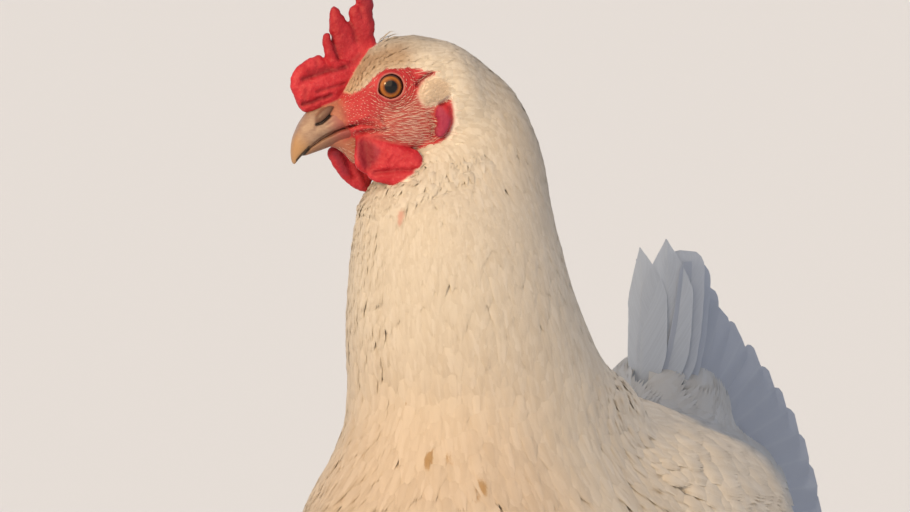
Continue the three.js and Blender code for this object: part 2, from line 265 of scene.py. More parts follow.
def newObject(name, points, faces):
    mesh = bpy.data.meshes.new(name)
    faces = [f for f in faces if len(f)]
    counts = np.concatenate([np.full(len(f), f.shape[1], np.int32) for f in faces])
    corners = np.concatenate([np.asarray(f, np.int32).ravel() for f in faces])
    mesh.vertices.add(len(points))
    mesh.vertices.foreach_set("co", np.asarray(points, np.float32).ravel())
    mesh.loops.add(len(corners))
    mesh.loops.foreach_set("vertex_index", corners)
    mesh.polygons.add(len(counts))
    starts = np.concatenate([[0], np.cumsum(counts)[:-1]]).astype(np.int32)
    mesh.polygons.foreach_set("loop_start", starts)
    mesh.polygons.foreach_set("use_smooth", np.full(len(counts), True))
    mesh.update(calc_edges=True)
    made = bpy.data.objects.new(name, mesh)
    bpy.context.scene.collection.objects.link(made)
    return made


def finishPiece(piece, material, slot, *stoodFor):
    piece.data.materials.clear()
    piece.data.materials.append(material)
    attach(piece, "root")
    if stoodFor:
        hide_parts(*stoodFor)
    report(f"{piece.name}: {len(piece.data.polygons)} faces")


# The head's own frame: x to the bill, y to her left, z up, from midway between the eyes.
head = {  # lengths are in millimetres
    "pitch": 22.0,  # of the bill below level, in degrees
    "shift": (-0.6, 0, 0.8),  # of the eyes within their sockets
    "step": 0.65,
    "grid": ((-66, -42, -96), (72, 42, 66)),  # corners of the finer skin's grid, in steps
    "box": ((2, 0, -9), (42, 25, 49)),  # middle and half sizes of the part it covers
    "closed": (43, 25.5, 50),  # half sizes that it is closed off at, inside the neck
    "bareDepth": 1.0,  # of the skin inside the solids
    "eyeSide": 8.8,
    "eyeRadius": 6.4,
    "opening": 4.4,
    "swells": [  # round the eye, over the ear and on the cheek: middle, radii, and how softly each one joins
        ((0.4, 9.2, 0.2), (10, 4.6, 8.8), 3.4), ((-13.8, 15.4, -7.4), (5.7, 2.5, 5.0), 0.9),
        ((2, 9.6, -14.5), (9, 4, 4.5), 3.0), ((0, 9.4, -20.5), (9, 3.6, 4.6), 2.6)],
    "lidRim": 0.55,
}
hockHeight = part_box("shank_left")[1].z / mm


def headMatrix():
    centres = []
    for side in ("left", "right"):
        low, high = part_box("eye_" + side)
        centres.append((low + high) / 2)
    across = (centres[0] - centres[1]).normalized()
    level = across.cross(Vector((0, 0, 1))).normalized()
    tilt = math.radians(head["pitch"])
    ahead = level * math.cos(tilt) - Vector((0, 0, 1)) * math.sin(tilt)
    made = Matrix((ahead, across, ahead.cross(across))).transposed().to_4x4()
    made.translation = (centres[0] + centres[1]) / 2 + made.to_3x3() @ Vector(head["shift"]) * mm
    return np.array(made)


headToRow = headMatrix()
rowToHead = np.linalg.inv(headToRow)


def toHead(points):
    return (points @ rowToHead[:3, :3].T + rowToHead[:3, 3]) / mm


def fromHead(points):
    return points * mm @ headToRow[:3, :3].T + headToRow[:3, 3]


def nearLine(x, z, a, b):
    ax, az = x - a[0], z - a[1]
    bx, bz = b[0] - a[0], b[1] - a[1]
    t = np.clip((ax * bx + az * bz) / (bx * bx + bz * bz), 0, 1)
    return np.hypot(ax - bx * t, az - bz * t)


def nearPath(x, z, corners):
    return np.minimum.reduce([nearLine(x, z, a, b) for a, b in zip(corners, corners[1:])])


def insidePolygon(x, z, corners):
    # signed distance to a closed outline, negative inside
    best = nearPath(x, z, corners + corners[:1])
    inside = np.zeros(best.shape, bool)
    for (ax, az), (bx, bz) in zip(corners, corners[1:] + corners[:1]):
        cut = ax + (z - az) * (bx - ax) / (bz - az if bz != az else 1e-9)
        inside ^= ((az > z) != (bz > z)) & (x < cut)
    return np.where(inside, -best, best)


def pressed(x, z, marks):
    # how deep a surface is pushed in by creases, or out by folds where the depth is negative
    return sum(depth * np.exp(-((nearPath(x, z, corners) / width) ** 2)) for corners, width, depth in marks)


# Outlines and creases are (x, z) of the head's frame, seen from the side.
# A crease also has a width and a depth, which is negative for a fold.
face = {
    "bare": [
        (32, 8), (20, 6.4), (16.5, 4.4), (14.1, 2.4), (10.8, 2.8), (6.8, 4.8), (3, 6.4), (-0.4, 6.9),
        (-3.8, 6.2), (-8, 4.7), (-11.7, 3), (-14, 0.4), (-17.2, -0.6), (-17.6, -2.2), (-14.4, -2.2),
        (-11.5, -2.9), (-9.6, -4.2), (-8, -6.1), (-7.6, -8), (-8, -10.4), (-9.3, -12), (-12, -12.6),
        (-15, -12.6), (-18.3, -11.8), (-18.6, -13), (-17.8, -17), (-16.6, -21), (-14, -24.2),
        (-11, -26.2), (-8.6, -26.6), (-3.1, -26.6), (1.5, -26.2), (5, -26.8), (12, -28.6), (22, -30),
        (34, -16)],
    "tuft": [
        (-9.4, -4.2), (-11.5, -2.9), (-14.4, -2.2), (-16.7, -2.9), (-18.8, -4.8), (-19.8, -7),
        (-19.4, -9), (-18.6, -11), (-16.7, -12), (-14.4, -12.6), (-11.8, -12.5), (-9.2, -11.9),
        (-7.8, -10.2), (-7.4, -7.9), (-7.8, -6.1)],
    "mouth": [
        (41, -13.2), (38, -11.6), (35.4, -10.3), (33.6, -9.5), (30.9, -8.6), (28.4, -8.1), (26.1, -8),
        (22.7, -8.4), (20.5, -8.6), (18.2, -8.7), (15.2, -9), (11.9, -10.6), (9.8, -12.4)],
    "creases": [
        ([(-9.2, -3.2), (-12.5, -1.7), (-15.8, -1.3)], 0.85, 1.5),
        ([(-14.4, -13.1), (-18, -12.1)], 0.8, 1.4),
        ([(22.7, -8.4), (18.2, -8.7), (15.2, -9), (11.9, -10.6), (9.8, -12.4)], 0.55, 0.9),
        ([(18.5, -12), (13.3, -12.6), (7, -14.8)], 0.8, 0.8),
        ([(11.6, -7.9), (7.2, -9.6), (7, -12)], 0.6, 0.6),
        ([(-9.2, -15), (-9.6, -20), (-7.4, -24.6)], 0.9, 0.8)],
    "folds": [
        ([(19, -6.6), (12.6, -7.4), (8.6, -9.9)], 1.0, -0.7),
        ([(18, -10.5), (12.6, -11.5), (8.4, -13.2)], 0.8, -0.7), ([(-6.8, 4.2), (-8, -2.6)], 1.1, -0.4),
        ([(14, -14.4), (5, -17.6), (-3, -20)], 2.0, -0.7)],
}
comb = {
    "blades": [
        {"side": 0.5, "thick": 2.5, "soft": 3.2, "outline": [
            (17.2, 16.4), (17.5, 18.2), (17.7, 19.5), (19.2, 20.3), (21.3, 20.4), (24.1, 20),
            (27.1, 19.4), (29.7, 18.1), (31.9, 16), (33.2, 13.9), (33.6, 11.4), (33, 8.7), (33.3, 6.8),
            (33.1, 4.7), (30, 6), (20, 9), (12, 10.5)]},
        {"side": 0.2, "thick": 3.9, "soft": 3.6, "outline": [
            (33, 9.6), (33.4, 6.8), (33.2, 4.7), (32.8, 2.7), (31, 1.5), (28.3, 0.6), (25.2, 1),
            (22.3, 0.8), (19.1, 1.2), (16.6, 2.9), (13.8, 5), (11.6, 7.6), (9, 10.4), (7.5, 13.6),
            (11.5, 15.2), (16, 15.4), (20, 14.4), (26, 13.4), (31, 12.6)]},
        {"side": 1.7, "thick": 1.9, "soft": 1.9, "outline": [
            (17.3, 16), (17.3, 17.7), (16.7, 20.4), (16.2, 23.1), (15.6, 25.3), (14.6, 26.7),
            (13.2, 27.1), (12, 26.2), (11.9, 24.4), (12.5, 21.7), (12.6, 18.9), (11.6, 13), (17.4, 12)]},
        {"side": -0.5, "thick": 2.1, "soft": 2.6, "outline": [
            (17.4, 12), (16, 16), (14.4, 20.6), (12.6, 23.9), (11.4, 27), (10.3, 30), (8.9, 32.9),
            (7.5, 34.6), (6.1, 34.8), (5.3, 33.2), (4.9, 30.5), (4.2, 28.4), (3.5, 27.2), (2.7, 29),
            (1.8, 31), (0.5, 32.1), (-1, 31.9), (-2.2, 31), (-2, 32.3), (-2, 35), (-3, 38.4),
            (-4.6, 40.3), (-6.4, 40.4), (-7.9, 38.2), (-8.6, 34.6), (-8.2, 30.8), (-6.7, 27.1),
            (-5.7, 23.1), (-4.8, 20.5), (-3.6, 18.4), (-3, 14.4), (2, 11), (8, 9)]},
    ],
    "creases": [
        ([(28.1, 14), (23.7, 13.7), (19.1, 13.2), (15.3, 12.4), (11.9, 12.2)], 0.9, 0.95),
        ([(11.9, 12.2), (8.7, 12.5), (5, 13.8)], 1.3, 0.5),
        ([(25.1, 15.6), (20.4, 14.8), (16.5, 13.8)], 0.75, 0.5),
        ([(25.2, 7.8), (21.4, 7.4), (17.4, 6.9), (14.6, 6.7)], 0.6, 0.7),
        ([(31.5, 5.3), (28.2, 4.8), (25.7, 5), (22.6, 4.6), (20.6, 4.7)], 0.75, 1.1),
        ([(28.7, 10.1), (30.6, 7), (32, 5)], 0.8, 0.4), ([(12, 24.2), (12.3, 20), (12.9, 16)], 0.9, 0.7),
        ([(3.6, 27.6), (3.2, 24.5), (3.9, 19.5)], 1.2, 0.75), ([(-2.2, 30.4), (-1.7, 26.6)], 0.9, 0.6),
        ([(-5.4, 27), (-2.2, 18.5)], 1.3, 0.45), ([(8.4, 29.6), (8.2, 21)], 1.5, -0.35),
        ([(20.6, 20), (21.4, 16.8)], 0.9, 0.35)],
    "foot": ((21, 5.4), (-0.6, 13.8), 4.4, 2.6),  # from, to, and its radius at each end
}
earLobe = [
    (-12.4, -13.3), (-14.5, -13), (-17.2, -14), (-16.8, -17.2), (-15.7, -20.7), (-13.3, -23.2),
    (-10.4, -25), (-8.2, -24), (-8.2, -22), (-9.9, -19.6), (-11, -16.3)]
earCreases = [
    ([(-11.4, -17.5), (-9.6, -22.7)], 0.6, 0.7), ([(-14, -15), (-12.4, -21)], 0.6, 0.4)]
chin = [
    (30.6, -11), (28.8, -13), (26.4, -14.5), (24.6, -16.2), (23.4, -18.8), (22.4, -22), (19.6, -25),
    (14, -24), (10, -18), (14, -11), (22, -9)]
wattles = [
    {"side": 12.0, "lean": -0.2, "turn": -0.16, "thick": 2.3, "soft": 3.2,
     "outline": [
         (18, -12.6), (19.8, -15.4), (21.4, -18.2), (22.9, -21.3), (23.3, -23), (22.6, -24.8),
         (20.2, -27.4), (20.3, -29), (18.2, -31.3), (14.9, -33.6), (12, -35.3), (8.8, -36.1),
         (5.5, -35.6), (2.7, -34.3), (0.6, -32.3), (-0.5, -30), (-0.9, -27.8), (-0.2, -25.6),
         (2.8, -23.4), (6, -20.6), (10, -17.6), (14, -14)],
     "creases": [
         ([(16.6, -16.2), (18, -20.8), (18.4, -25)], 2.6, 2.0),
         ([(20.2, -27.9), (18.4, -26.2), (15.6, -26.2), (12.8, -27.4)], 0.8, -0.8),
         ([(17.6, -27.6), (14.2, -28.5), (10, -29.7), (3.1, -32.4)], 0.8, 1.0),
         ([(12.5, -24.6), (10.2, -23.9)], 0.7, -0.5), ([(22.2, -19.5), (22.8, -23)], 0.8, -0.7),
         ([(9, -22.4), (3, -27)], 1.4, -0.6)],
     "shade": [
         (19, -15), (16.4, -15.6), (13.6, -18.4), (12.8, -21), (15.4, -23.4), (18.4, -24.8),
         (20.6, -24.4), (21, -20)]},
    {"side": -9.4, "lean": 0.1, "turn": 0.1, "thick": 2.3, "soft": 3.2,
     "outline": [
         (28.2, -15), (29, -16.4), (28.9, -18.4), (28.5, -20.7), (28, -23.6), (27.2, -26.5), (26, -29.4),
         (24.3, -32), (22.1, -34.6), (19.9, -36), (18.1, -36.3), (17.2, -33.6), (14, -31), (10, -26),
         (12, -20), (16, -14.6), (21, -13)],
     "creases": [
         ([(25, -17), (24, -27)], 1.2, 0.8), ([(20.6, -24), (20.4, -33)], 1.2, 0.9),
         ([(22.6, -28), (24.4, -24)], 0.9, -0.5)],
     "shade": [
         (27, -17), (24.6, -17), (23, -22), (24, -27), (26.4, -26)]},
]


def pillow(y, plane, thick, rim, soft):
    # a plump sheet over an outline, whose signed distance is rim
    edge = np.clip((rim + soft) / soft, 0, None)
    return (np.sqrt(((y - plane) / thick) ** 2 + edge**2) - 1) * thick


def inHead(h):
    middle, half = head["box"]
    return np.all([np.abs(h[..., i] - middle[i]) < half[i] for i in range(3)], axis=0)


coat = {  # in millimetres
    "depth": {"body": 4.6, "neck": 2.0, "leg": 1.0, "rump": 4.0, "head": 0.9},
    # spacing, length and width of the feathers
    "head": (1.1, 4.6, 1.6), "neck": (3.6, 23, 7.0), "back": (6.2, 30, 14), "leg": (4.5, 16, 6),
    "ear": (0.75, 2.6, 0.8),
    "cape": 7,  # how much higher the feathers stand over the shoulders and back
    "throat": 1.3,  # and down the front of the neck
    "stuckTuft": ((-5, 0.5, 16), (1.6, 1.6, 2.6)),  # the few raised ones behind the comb: middle and radii
}


def coatDepth(p, h):
    # how deep the plumage is, in millimetres; p in the row's frame and h in the head's, both in millimetres
    depth = coat["depth"]
    neck = ease(255, 310, p[..., 2])
    deep = lerp(depth["body"], depth["neck"], neck)
    leg = ease(165, hockHeight + 6, p[..., 2]) * ease(12, 20, np.abs(p[..., 0]))
    deep = lerp(deep, depth["leg"], leg)
    deep = lerp(deep, depth["rump"], ease(40, 120, p[..., 1]) * ease(225, 260, p[..., 2]))
    return lerp(deep, depth["head"], ease(-46, -20, h[..., 0]) * ease(-46, -26, h[..., 2]))


def faceMask(x, y, z):
    # 1 on bare red skin, 0 under feathers
    crown = (z > 6.9) & (x < 30) & (np.abs(y) < 4.2)  # the comb's own foot is told apart by its field
    return ease(0.7, -0.7, insidePolygon(x, z, face["bare"])) * ~crown


def eyeReach(x, z):
    # distance from the eye's middle, stretched so that the lids' corners are at the same reach
    return np.hypot(x, z) - 0.7 * np.exp(-((np.arctan2(z, x) + 0.05) ** 2) / 0.1)


def openEye(shape, x, side, z):
    # a thin rim round the eye's opening, over the hollow that the eyeball sits in
    opening, rim, middle, radius = head["opening"], head["lidRim"], head["eyeSide"], head["eyeRadius"]
    way = eyeReach(x, z)
    rimSide = side - middle - math.sqrt(radius**2 - opening**2) + 0.1
    shape = softMin(shape, np.hypot(way - opening - rim, rimSide) - rim, 1.1)
    shape = softMax(shape, np.minimum(opening - way, side - middle - 0.4), 0.3)
    eyeball = np.sqrt(x**2 + (side - middle) ** 2 + z**2) - radius - 0.12
    return softMax(shape, -eyeball, 0.25)


def combShape(x, y, z, lumps):
    # blades over a bulging foot, which is let into the crown
    flesh = np.full(lumps.shape, 9.0)
    for blade in comb["blades"]:
        outline = blurred(insidePolygon(x, z, blade["outline"]), 3)
        flesh = softMin(flesh, pillow(y, blade["side"], blade["thick"], outline, blade["soft"]), 0.5)
    a, b, wide, narrow = comb["foot"]
    share = np.clip((a[0] - x) / (a[0] - b[0]), 0, 1)
    flesh = softMin(flesh, np.hypot(nearLine(x, z, a, b), y) - lerp(wide, narrow, share), 1.2)
    return flesh + pressed(x, z, comb["creases"]) + 0.16 * lumps * ease(1, 4, z)


def wattleShape(wattle, x, y, z):
    plane = wattle["side"] + wattle["lean"] * (z + 26) + wattle["turn"] * (x - 10)
    bent = pressed(x, z, wattle["creases"]) * np.sign(wattle["side"])
    outline = blurred(insidePolygon(x, z, wattle["outline"]), 3)
    return pillow(y + bent, plane, wattle["thick"], outline, wattle["soft"])


def headSkin():
    # the finer skin of the head and upper neck: with the comb, wattles and ear lobes, and without them
    step = head["step"]
    low, high = np.array(head["grid"])
    axes = [np.arange(low[i], high[i] + 1) * step for i in range(3)]
    x, y, z = np.meshgrid(*axes, indexing="ij", sparse=True)
    p = np.stack(np.broadcast_arrays(x, y, z), -1).astype(np.float32)
    side = np.abs(y)

    def solid(*names, soften=2):
        values, _ = denseField(names, step * mm, rowToHead, band=7, low=low, high=high)
        return blurred(values / mm, soften)

    depth = lerp(coatDepth(fromHead(p) / mm, p), head["bareDepth"], faceMask(x, y, z))
    rim = np.maximum(ease(-33, -40, x), ease(-46, -56, z))  # sinks under the body's skin where it ends
    shape = solid("head", "neck_upper", soften=4) + blurred(depth, 3)
    shape = lerp(shape, blurred(blurred(shape, 4, 3), 2), ease(-16, -26, x)) + 1.2 * rim
    for (cx, cy, cz), (rx, ry, rz), soft in head["swells"]:
        away = np.sqrt(((x - cx) / rx) ** 2 + ((side - cy) / ry) ** 2 + ((z - cz) / rz) ** 2)
        shape = softMin(shape, (away - 1) * min(rx, ry, rz), soft)
    shape = softMin(shape, pillow(y, 0, 4.2, blurred(insidePolygon(x, z, chin), 4), 4.0), 1.2)
    shape = shape + (pressed(x, z, face["creases"]) + pressed(x, z, face["folds"])) * (side > 4)
    shape = openEye(shape, x, side, z)

    # the red skin runs a little way over the bill's base
    collar = softMax(solid("bill_upper", "bill_lower") - 0.5, x - 22.6 - 0.5 * (z + 6), 2.6)
    bald = softMin(shape, collar, 2.0)
    lumps = np.sin(1.5 * x + 0.8 * np.sin(1.3 * z)) * np.sin(1.7 * z + 0.9 * np.sin(1.1 * x + 0.5 * y))
    flesh = combShape(x, y, z, lumps)
    hung = 9.0
    for wattle in wattles:
        plump = wattleShape(wattle, x, y, z)
        room = lerp(-4, 0.3, ease(-22, -28, z))  # for the plumage of the throat
        bald = softMax(bald, room - plump, 1.2)
        hung = softMin(plump + 0.12 * lumps, hung, 0.5)
    shape = softMin(softMin(bald, flesh, 1.2), hung, 1.1)
    lobe = pillow(side, 16.3 - 0.1 * (x + 12), 2.3, blurred(insidePolygon(x, z, earLobe), 3), 2.4)
    shape = softMin(shape, lobe + pressed(x, z, earCreases) + 0.08 * lumps, 0.6)

    (cx, _, cz), closed = head["box"][0], head["closed"]
    limit = np.maximum(np.abs(x - cx) - closed[0], np.maximum(side - closed[1], np.abs(z - cz) - closed[2]))
    return np.maximum(shape, limit), np.maximum(bald, limit), low * step, step


bodyStep = 0.0028
legStep = 0.0011
fleshNodes = ["neck_upper", "neck_lower", "breast", "trunk", "rump", "tail_coverts"]
fleshNodes += [f"{part}_{side}" for part in ("wing", "thigh") for side in ("left", "right")]
legNodes = [f"{part}_{side}" for side in ("left", "right")
            for part in ("shank", "toe_inner", "toe_middle", "toe_outer", "toe_back")]


def bodySkin():
    values, low = denseField(fleshNodes + ["head"], bodyStep)
    values = blurred(values, 3)
    p = np.stack(np.broadcast_arrays(*gridLines(values, low, bodyStep)), -1)
    h = toHead(p)
    depth = coatDepth(p / mm, h)
    depth = depth + 9 * ease(-32, -18, h[..., 0]) * ease(-45, -34, h[..., 2])  # gives way to the finer head
    return values + depth * mm, low


def legSkin():
    values, low = denseField(legNodes, legStep)
    return blurred(values, 2), low


def lieAt(p, h):
    # which way the feathers point, in the row's frame
    x, y, z = p[..., 0], p[..., 1], p[..., 2]
    pad = np.zeros_like(x)
    neck = np.stack([pad, pad + 0.24, pad - 1], -1)
    trunk = np.stack([pad, pad + 1, pad - 0.3], -1)
    tail = lerp(np.stack([pad, pad + 1, pad - 0.15], -1), np.stack([pad, pad + 0.6, pad + 0.8], -1),
                ease(200, 262, z)[..., None])
    thigh = np.stack([pad, pad + 0.22, pad - 1], -1)
    way = lerp(unit(neck), unit(trunk), (ease(-112, -30, y) * ease(305, 262, z))[..., None])
    way = lerp(way, unit(tail), ease(48, 98, y)[..., None])
    way = lerp(way, unit(thigh), (ease(176, 135, z) * ease(16, 26, np.abs(x)) * ease(60, 30, y))[..., None])
    # on the head they stream back round the eye
    hx, hz = h[..., 0], h[..., 2]
    drop = lerp(0.1, 0.42, ease(10, -14, hz))
    flow = np.stack([-np.cos(drop), -np.sin(drop)], -1)
    r = np.stack([hx, hz], -1)
    r2 = np.maximum((r**2).sum(-1, keepdims=True), 30)
    a2 = 6.3**2
    flow = flow * (1 + a2 / r2) - 2 * a2 * (flow * r).sum(-1, keepdims=True) * r / r2**2
    onHead = unit(np.stack([flow[..., 0], pad, flow[..., 1]], -1)) @ headToRow[:3, :3].T
    share = ease(-46, -16, hx) * ease(-36, -22, hz)
    return unit(lerp(way, onHead, share[..., None]))


class Skin:
    # the joined skin, sampled anywhere: distance out of it in metres, and its outward direction
    def __init__(self, headValues, headLow, headStep, bodyValues, bodyLow):
        self.fine = Field(headValues, headLow, headStep)
        self.coarse = Field(bodyValues, bodyLow, bodyStep)

    def at(self, points):
        value, normal = self.coarse.at(points)
        h = toHead(points)
        near = np.nonzero(inHead(h))
        if len(near[0]):
            fineValue, fineNormal = self.fine.at(h[near])
            fineValue, fineNormal = fineValue * mm, fineNormal @ headToRow[:3, :3].T
            better = fineValue < value[near]
            value[near] = np.where(better, fineValue, value[near])
            normal[near] = np.where(better[..., None], fineNormal, normal[near])
        return value, normal


def unwrap(piece):
    # an unwrap of the skin's own shape
    bpy.ops.object.select_all(action="DESELECT")
    bpy.context.view_layer.objects.active = piece
    piece.select_set(True)
    piece.data.uv_layers.new(name="OFBake")
    bpy.ops.object.mode_set(mode="EDIT")
    bpy.ops.mesh.select_all(action="SELECT")
    bpy.ops.uv.smart_project(angle_limit=math.radians(66), island_margin=0.002)
    bpy.ops.object.mode_set(mode="OBJECT")


def joinedSkin(parts):
    first = parts[0]
    for other in parts[1:]:
        join = first.modifiers.new("join", "BOOLEAN")
        join.operation, join.solver, join.object = "UNION", "MANIFOLD", other
    mesh = bpy.data.meshes.new_from_object(first.evaluated_get(bpy.context.evaluated_depsgraph_get()))
    for part in parts:
        bpy.data.objects.remove(part)
    made = bpy.data.objects.new("skin", mesh)
    bpy.context.scene.collection.objects.link(made)
    mesh.polygons.foreach_set("use_smooth", np.full(len(mesh.polygons), True))
    return made


class Surface:
    # the skin's triangles, for rooting feathers on
    def __init__(self, piece):
        mesh = piece.data
        patch = np.empty(len(mesh.loops) * 2)
        mesh.uv_layers["OFBake"].data.foreach_get("uv", patch)
        self.corners = pointsOf(mesh)[trianglesOf(mesh)]
        self.patch = patch.reshape(-1, 2)[trianglesOf(mesh, "loops")]
        cross = np.cross(self.corners[:, 1] - self.corners[:, 0], self.corners[:, 2] - self.corners[:, 0])
        self.area = 0.5 * np.linalg.norm(cross, axis=1)
        self.middle = self.corners.mean(1)

    def scatter(self, spacing, seed):
        # roots about spacing apart, where spacing (per triangle, in metres) is above zero
        rng = np.random.default_rng(seed)
        weight = np.where(spacing > 0, self.area / np.maximum(spacing, 1e-9) ** 2, 0)
        tries = int(7 * weight.sum())  # enough to leave no gaps
        picked = rng.choice(len(weight), tries, p=weight / weight.sum())
        a, b = np.sqrt(rng.random(tries)), rng.random(tries)
        share = np.stack([1 - a, a * (1 - b), a * b], 1)
        points = (self.corners[picked] * share[..., None]).sum(1)
        patch = (self.patch[picked] * share[..., None]).sum(1)
        reach = spacing[picked]
        tree = kdtree.KDTree(tries)
        for i, point in enumerate(points):
            tree.insert(point, i)
        tree.balance()
        free = np.ones(tries, bool)
        kept = []
        for i in range(tries):
            if free[i]:
                kept.append(i)
                for _, j, _ in tree.find_range(points[i], reach[i]):
                    free[j] = False
        return points[kept], patch[kept]

    def nearest(self, points):
        tree = kdtree.KDTree(len(self.middle))
        for i, point in enumerate(self.middle):
            tree.insert(point, i)
        tree.balance()
        return self.patch[[tree.find(point)[1] for point in points]].mean(1)


specks = [  # of dried mud on the breast: x, y, z, radius and strength, in millimetres of the row's frame
    (-10.7, -154.7, 302.1, 0.9, 0.8), (-10.2, -154.7, 304.6, 0.7, 0.6), (-7.1, -152, 283.7, 1.0, 0.8),
    (-1.9, -151.7, 282.4, 1.1, 0.7), (-4, -152.5, 286.1, 0.9, 0.7), (4.9, -158.6, 264.7, 1.9, 0.9),
    (5.6, -158.4, 262.2, 1.4, 0.7), (12.5, -157.4, 263.8, 1.3, 0.7), (9.7, -157.5, 265.9, 1.2, 0.6),
    (26.4, -156.6, 252.5, 2.0, 0.8), (24, -157, 251, 1.5, 0.6), (14, -157, 261.5, 1.2, 0.5),
    (-5.4, -159.4, 353.8, 1.7, -0.5), (-6, -159.4, 351, 1.2, -0.4)]


def dirtOn(points):
    # mud above zero, and the one reddened spot on the throat below it
    total = np.zeros(len(points))
    for x, y, z, radius, strength in specks:
        gap = points / mm - [x, y, z]
        total = total + strength * np.exp(-((gap * [1, 0.35, 0.8]) ** 2).sum(1) / radius**2)
    return total


def warmOn(points):
    # where the plumage is tanned: over the eye and on the forehead, and more faintly on the ear and breast
    p, h = points / mm, toHead(points)
    x, z = h[:, 0], h[:, 2]
    crown = np.exp(-((nearPath(x, z, [(15, 4), (10, 8), (2, 10.5), (-7, 9.5)]) / 5.2) ** 2)) * ease(16, 12, z)
    ear = 0.55 * ease(1, -1, insidePolygon(x, z, face["tuft"]))
    breast = 0.42 * ease(325, 250, p[:, 2]) * ease(-110, -150, p[:, 1])
    return np.clip(np.maximum(crown, ear) * inHead(h) + breast + 0.1, 0, 1)


def paintedShadeBehindOn(points):
    # painted shade: the bluish grey of the white plumage behind, as if in shadow, which the tail shares
    return ease(12, 58, points[:, 1] / mm)


def paintedShadeFrontOn(points):
    # painted shade: the neck and breast a little darker than the back, and the crown and nape darker still
    p, h = points / mm, toHead(points)
    nape = ease(-24, -38, h[:, 0]) * ease(330, 375, p[:, 2])
    crown = ease(4, 12, h[:, 2]) * inHead(h)
    return np.clip(0.34 * ease(-60, -100, p[:, 1]) + np.maximum(0.34 * nape, 0.55 * crown), 0, 1)


def plumeMarks(points):
    return {"dirt": dirtOn(points), "warm": warmOn(points), "paintedShadeBehind": paintedShadeBehindOn(points), "paintedShadeFront": paintedShadeFrontOn(points)}


def keep(piece, **values):
    # one number per vertex, for the materials
    for name, value in values.items():
        layer = piece.data.attributes.new(name, "FLOAT", "POINT")
        layer.data.foreach_set("value", np.asarray(value, np.float32).ravel())


def cornersOf(piece):
    corners = np.empty(len(piece.data.loops), np.int32)
    piece.data.loops.foreach_get("vertex_index", corners)
    return corners


rootDepth = 0.0002  # of a feather's root in the skin, in metres
patchSize = 0.003  # of a feather on the skin's unwrap


def walkSpines(skin, roots, length, tipHeight, kind, rng):
    # a spine from each root, walked over the skin the way the plumage lies, with its outward directions
    # and its heights
    count, steps = len(roots), kind["steps"]
    stray = rng.normal(0, kind["stray"], count)
    cos, sin = np.cos(stray)[:, None], np.sin(stray)[:, None]
    length = length * rng.uniform(0.85, 1.15, count)
    lift = tipHeight * rng.uniform(1 - kind["loose"], 1 + kind["loose"], count)
    p = roots.copy()
    _, n = skin.at(p)
    spine, up, high = [p], [n], [np.full(count, -rootDepth)]
    for k in range(steps):
        way = lieAt(p / mm, toHead(p))
        way = unit(way - (way * n).sum(-1, keepdims=True) * n)
        way = way * cos + np.cross(n, way) * sin
        p = p + way * (length / steps)[:, None]
        value, n = skin.at(p)
        height = lift * (1 - (1 - (k + 1) / steps) ** kind["rise"]) - rootDepth
        p = p + n * (height - value)[:, None]
        spine.append(p)
        up.append(n)
        high.append(height)
    drop = np.minimum(lift, coat["depth"]["body"] * mm) * kind["dip"]
    return np.stack(spine, 1), np.stack(up, 1), np.stack(high, 1), drop


def fanLocks(skin, spine, up, high, drop, width, kind, rng):
    # each feather's barb locks, as rings of three corners that end in a point
    # also the share of the feather's length that each ring is at, and how far it is to the side
    count, locks, steps = len(spine), kind["locks"], kind["steps"]
    across = unit(np.cross(up, unit(np.gradient(spine, axis=1))))
    u = (2 * np.arange(locks) + 1) / locks - 1
    t = np.linspace(0, 1, steps + 1)
    ends = (1 - kind["rounded"] * np.abs(u) ** 2)[None] * (1 - rng.uniform(0, kind["ragged"], (count, locks)))
    s = t[None, None] * ends[..., None] * steps  # feather, lock, ring
    low = np.clip(np.floor(s).astype(int), 0, steps - 1)
    part = s - low
    each = np.arange(count)[:, None, None]

    def at(values):
        share = part if values.ndim == 2 else part[..., None]
        return lerp(values[each, low], values[each, low + 1], share)

    centre, side = at(spine), at(across)
    share = s / steps
    opened = (0.2 + 0.8 * ease(0, kind["opens"], share)) * (1 - kind["taper"] * share**2)
    splay = rng.normal(0, kind["splay"], (count, locks))[..., None] * t**2
    offset = (u[None, :, None] * opened + splay) * width[:, None, None] / 2
    puff = rng.normal(0, kind["puff"] * mm, (count, locks))[..., None] * t**2
    centre = centre + side * offset[..., None]
    sag = kind["camber"] * (u[None, :, None] ** 2) * width[:, None, None] * opened
    sag = sag + drop[:, None, None] * t**4
    wanted = at(high) - sag + puff
    value, normal = skin.at(centre.reshape(-1, 3))
    centre = centre + (normal * (wanted.ravel() - value)[:, None]).reshape(centre.shape)
    normal = normal.reshape(centre.shape)
    half = width[:, None, None] / locks * kind["fill"] * rng.uniform(0.85, 1.15, (count, locks, 1))
    half = half * (0.45 + 0.55 * ease(0, 0.4, t)) * (1 - t ** kind["point"])
    side = unit(side - (side * normal).sum(-1, keepdims=True) * normal)
    left = centre + side * half[..., None]
    right = centre - side * half[..., None]
    ridge = centre + normal * (half * kind["thick"])[..., None]
    rings = np.stack([left, ridge, right], 3)[:, :, :steps]  # feather, lock, ring, corner, xyz
    points = np.concatenate([rings.reshape(count, locks, -1, 3), centre[:, :, -1:]], 2)
    return points.reshape(-1, 3), share, offset / width[:, None, None]


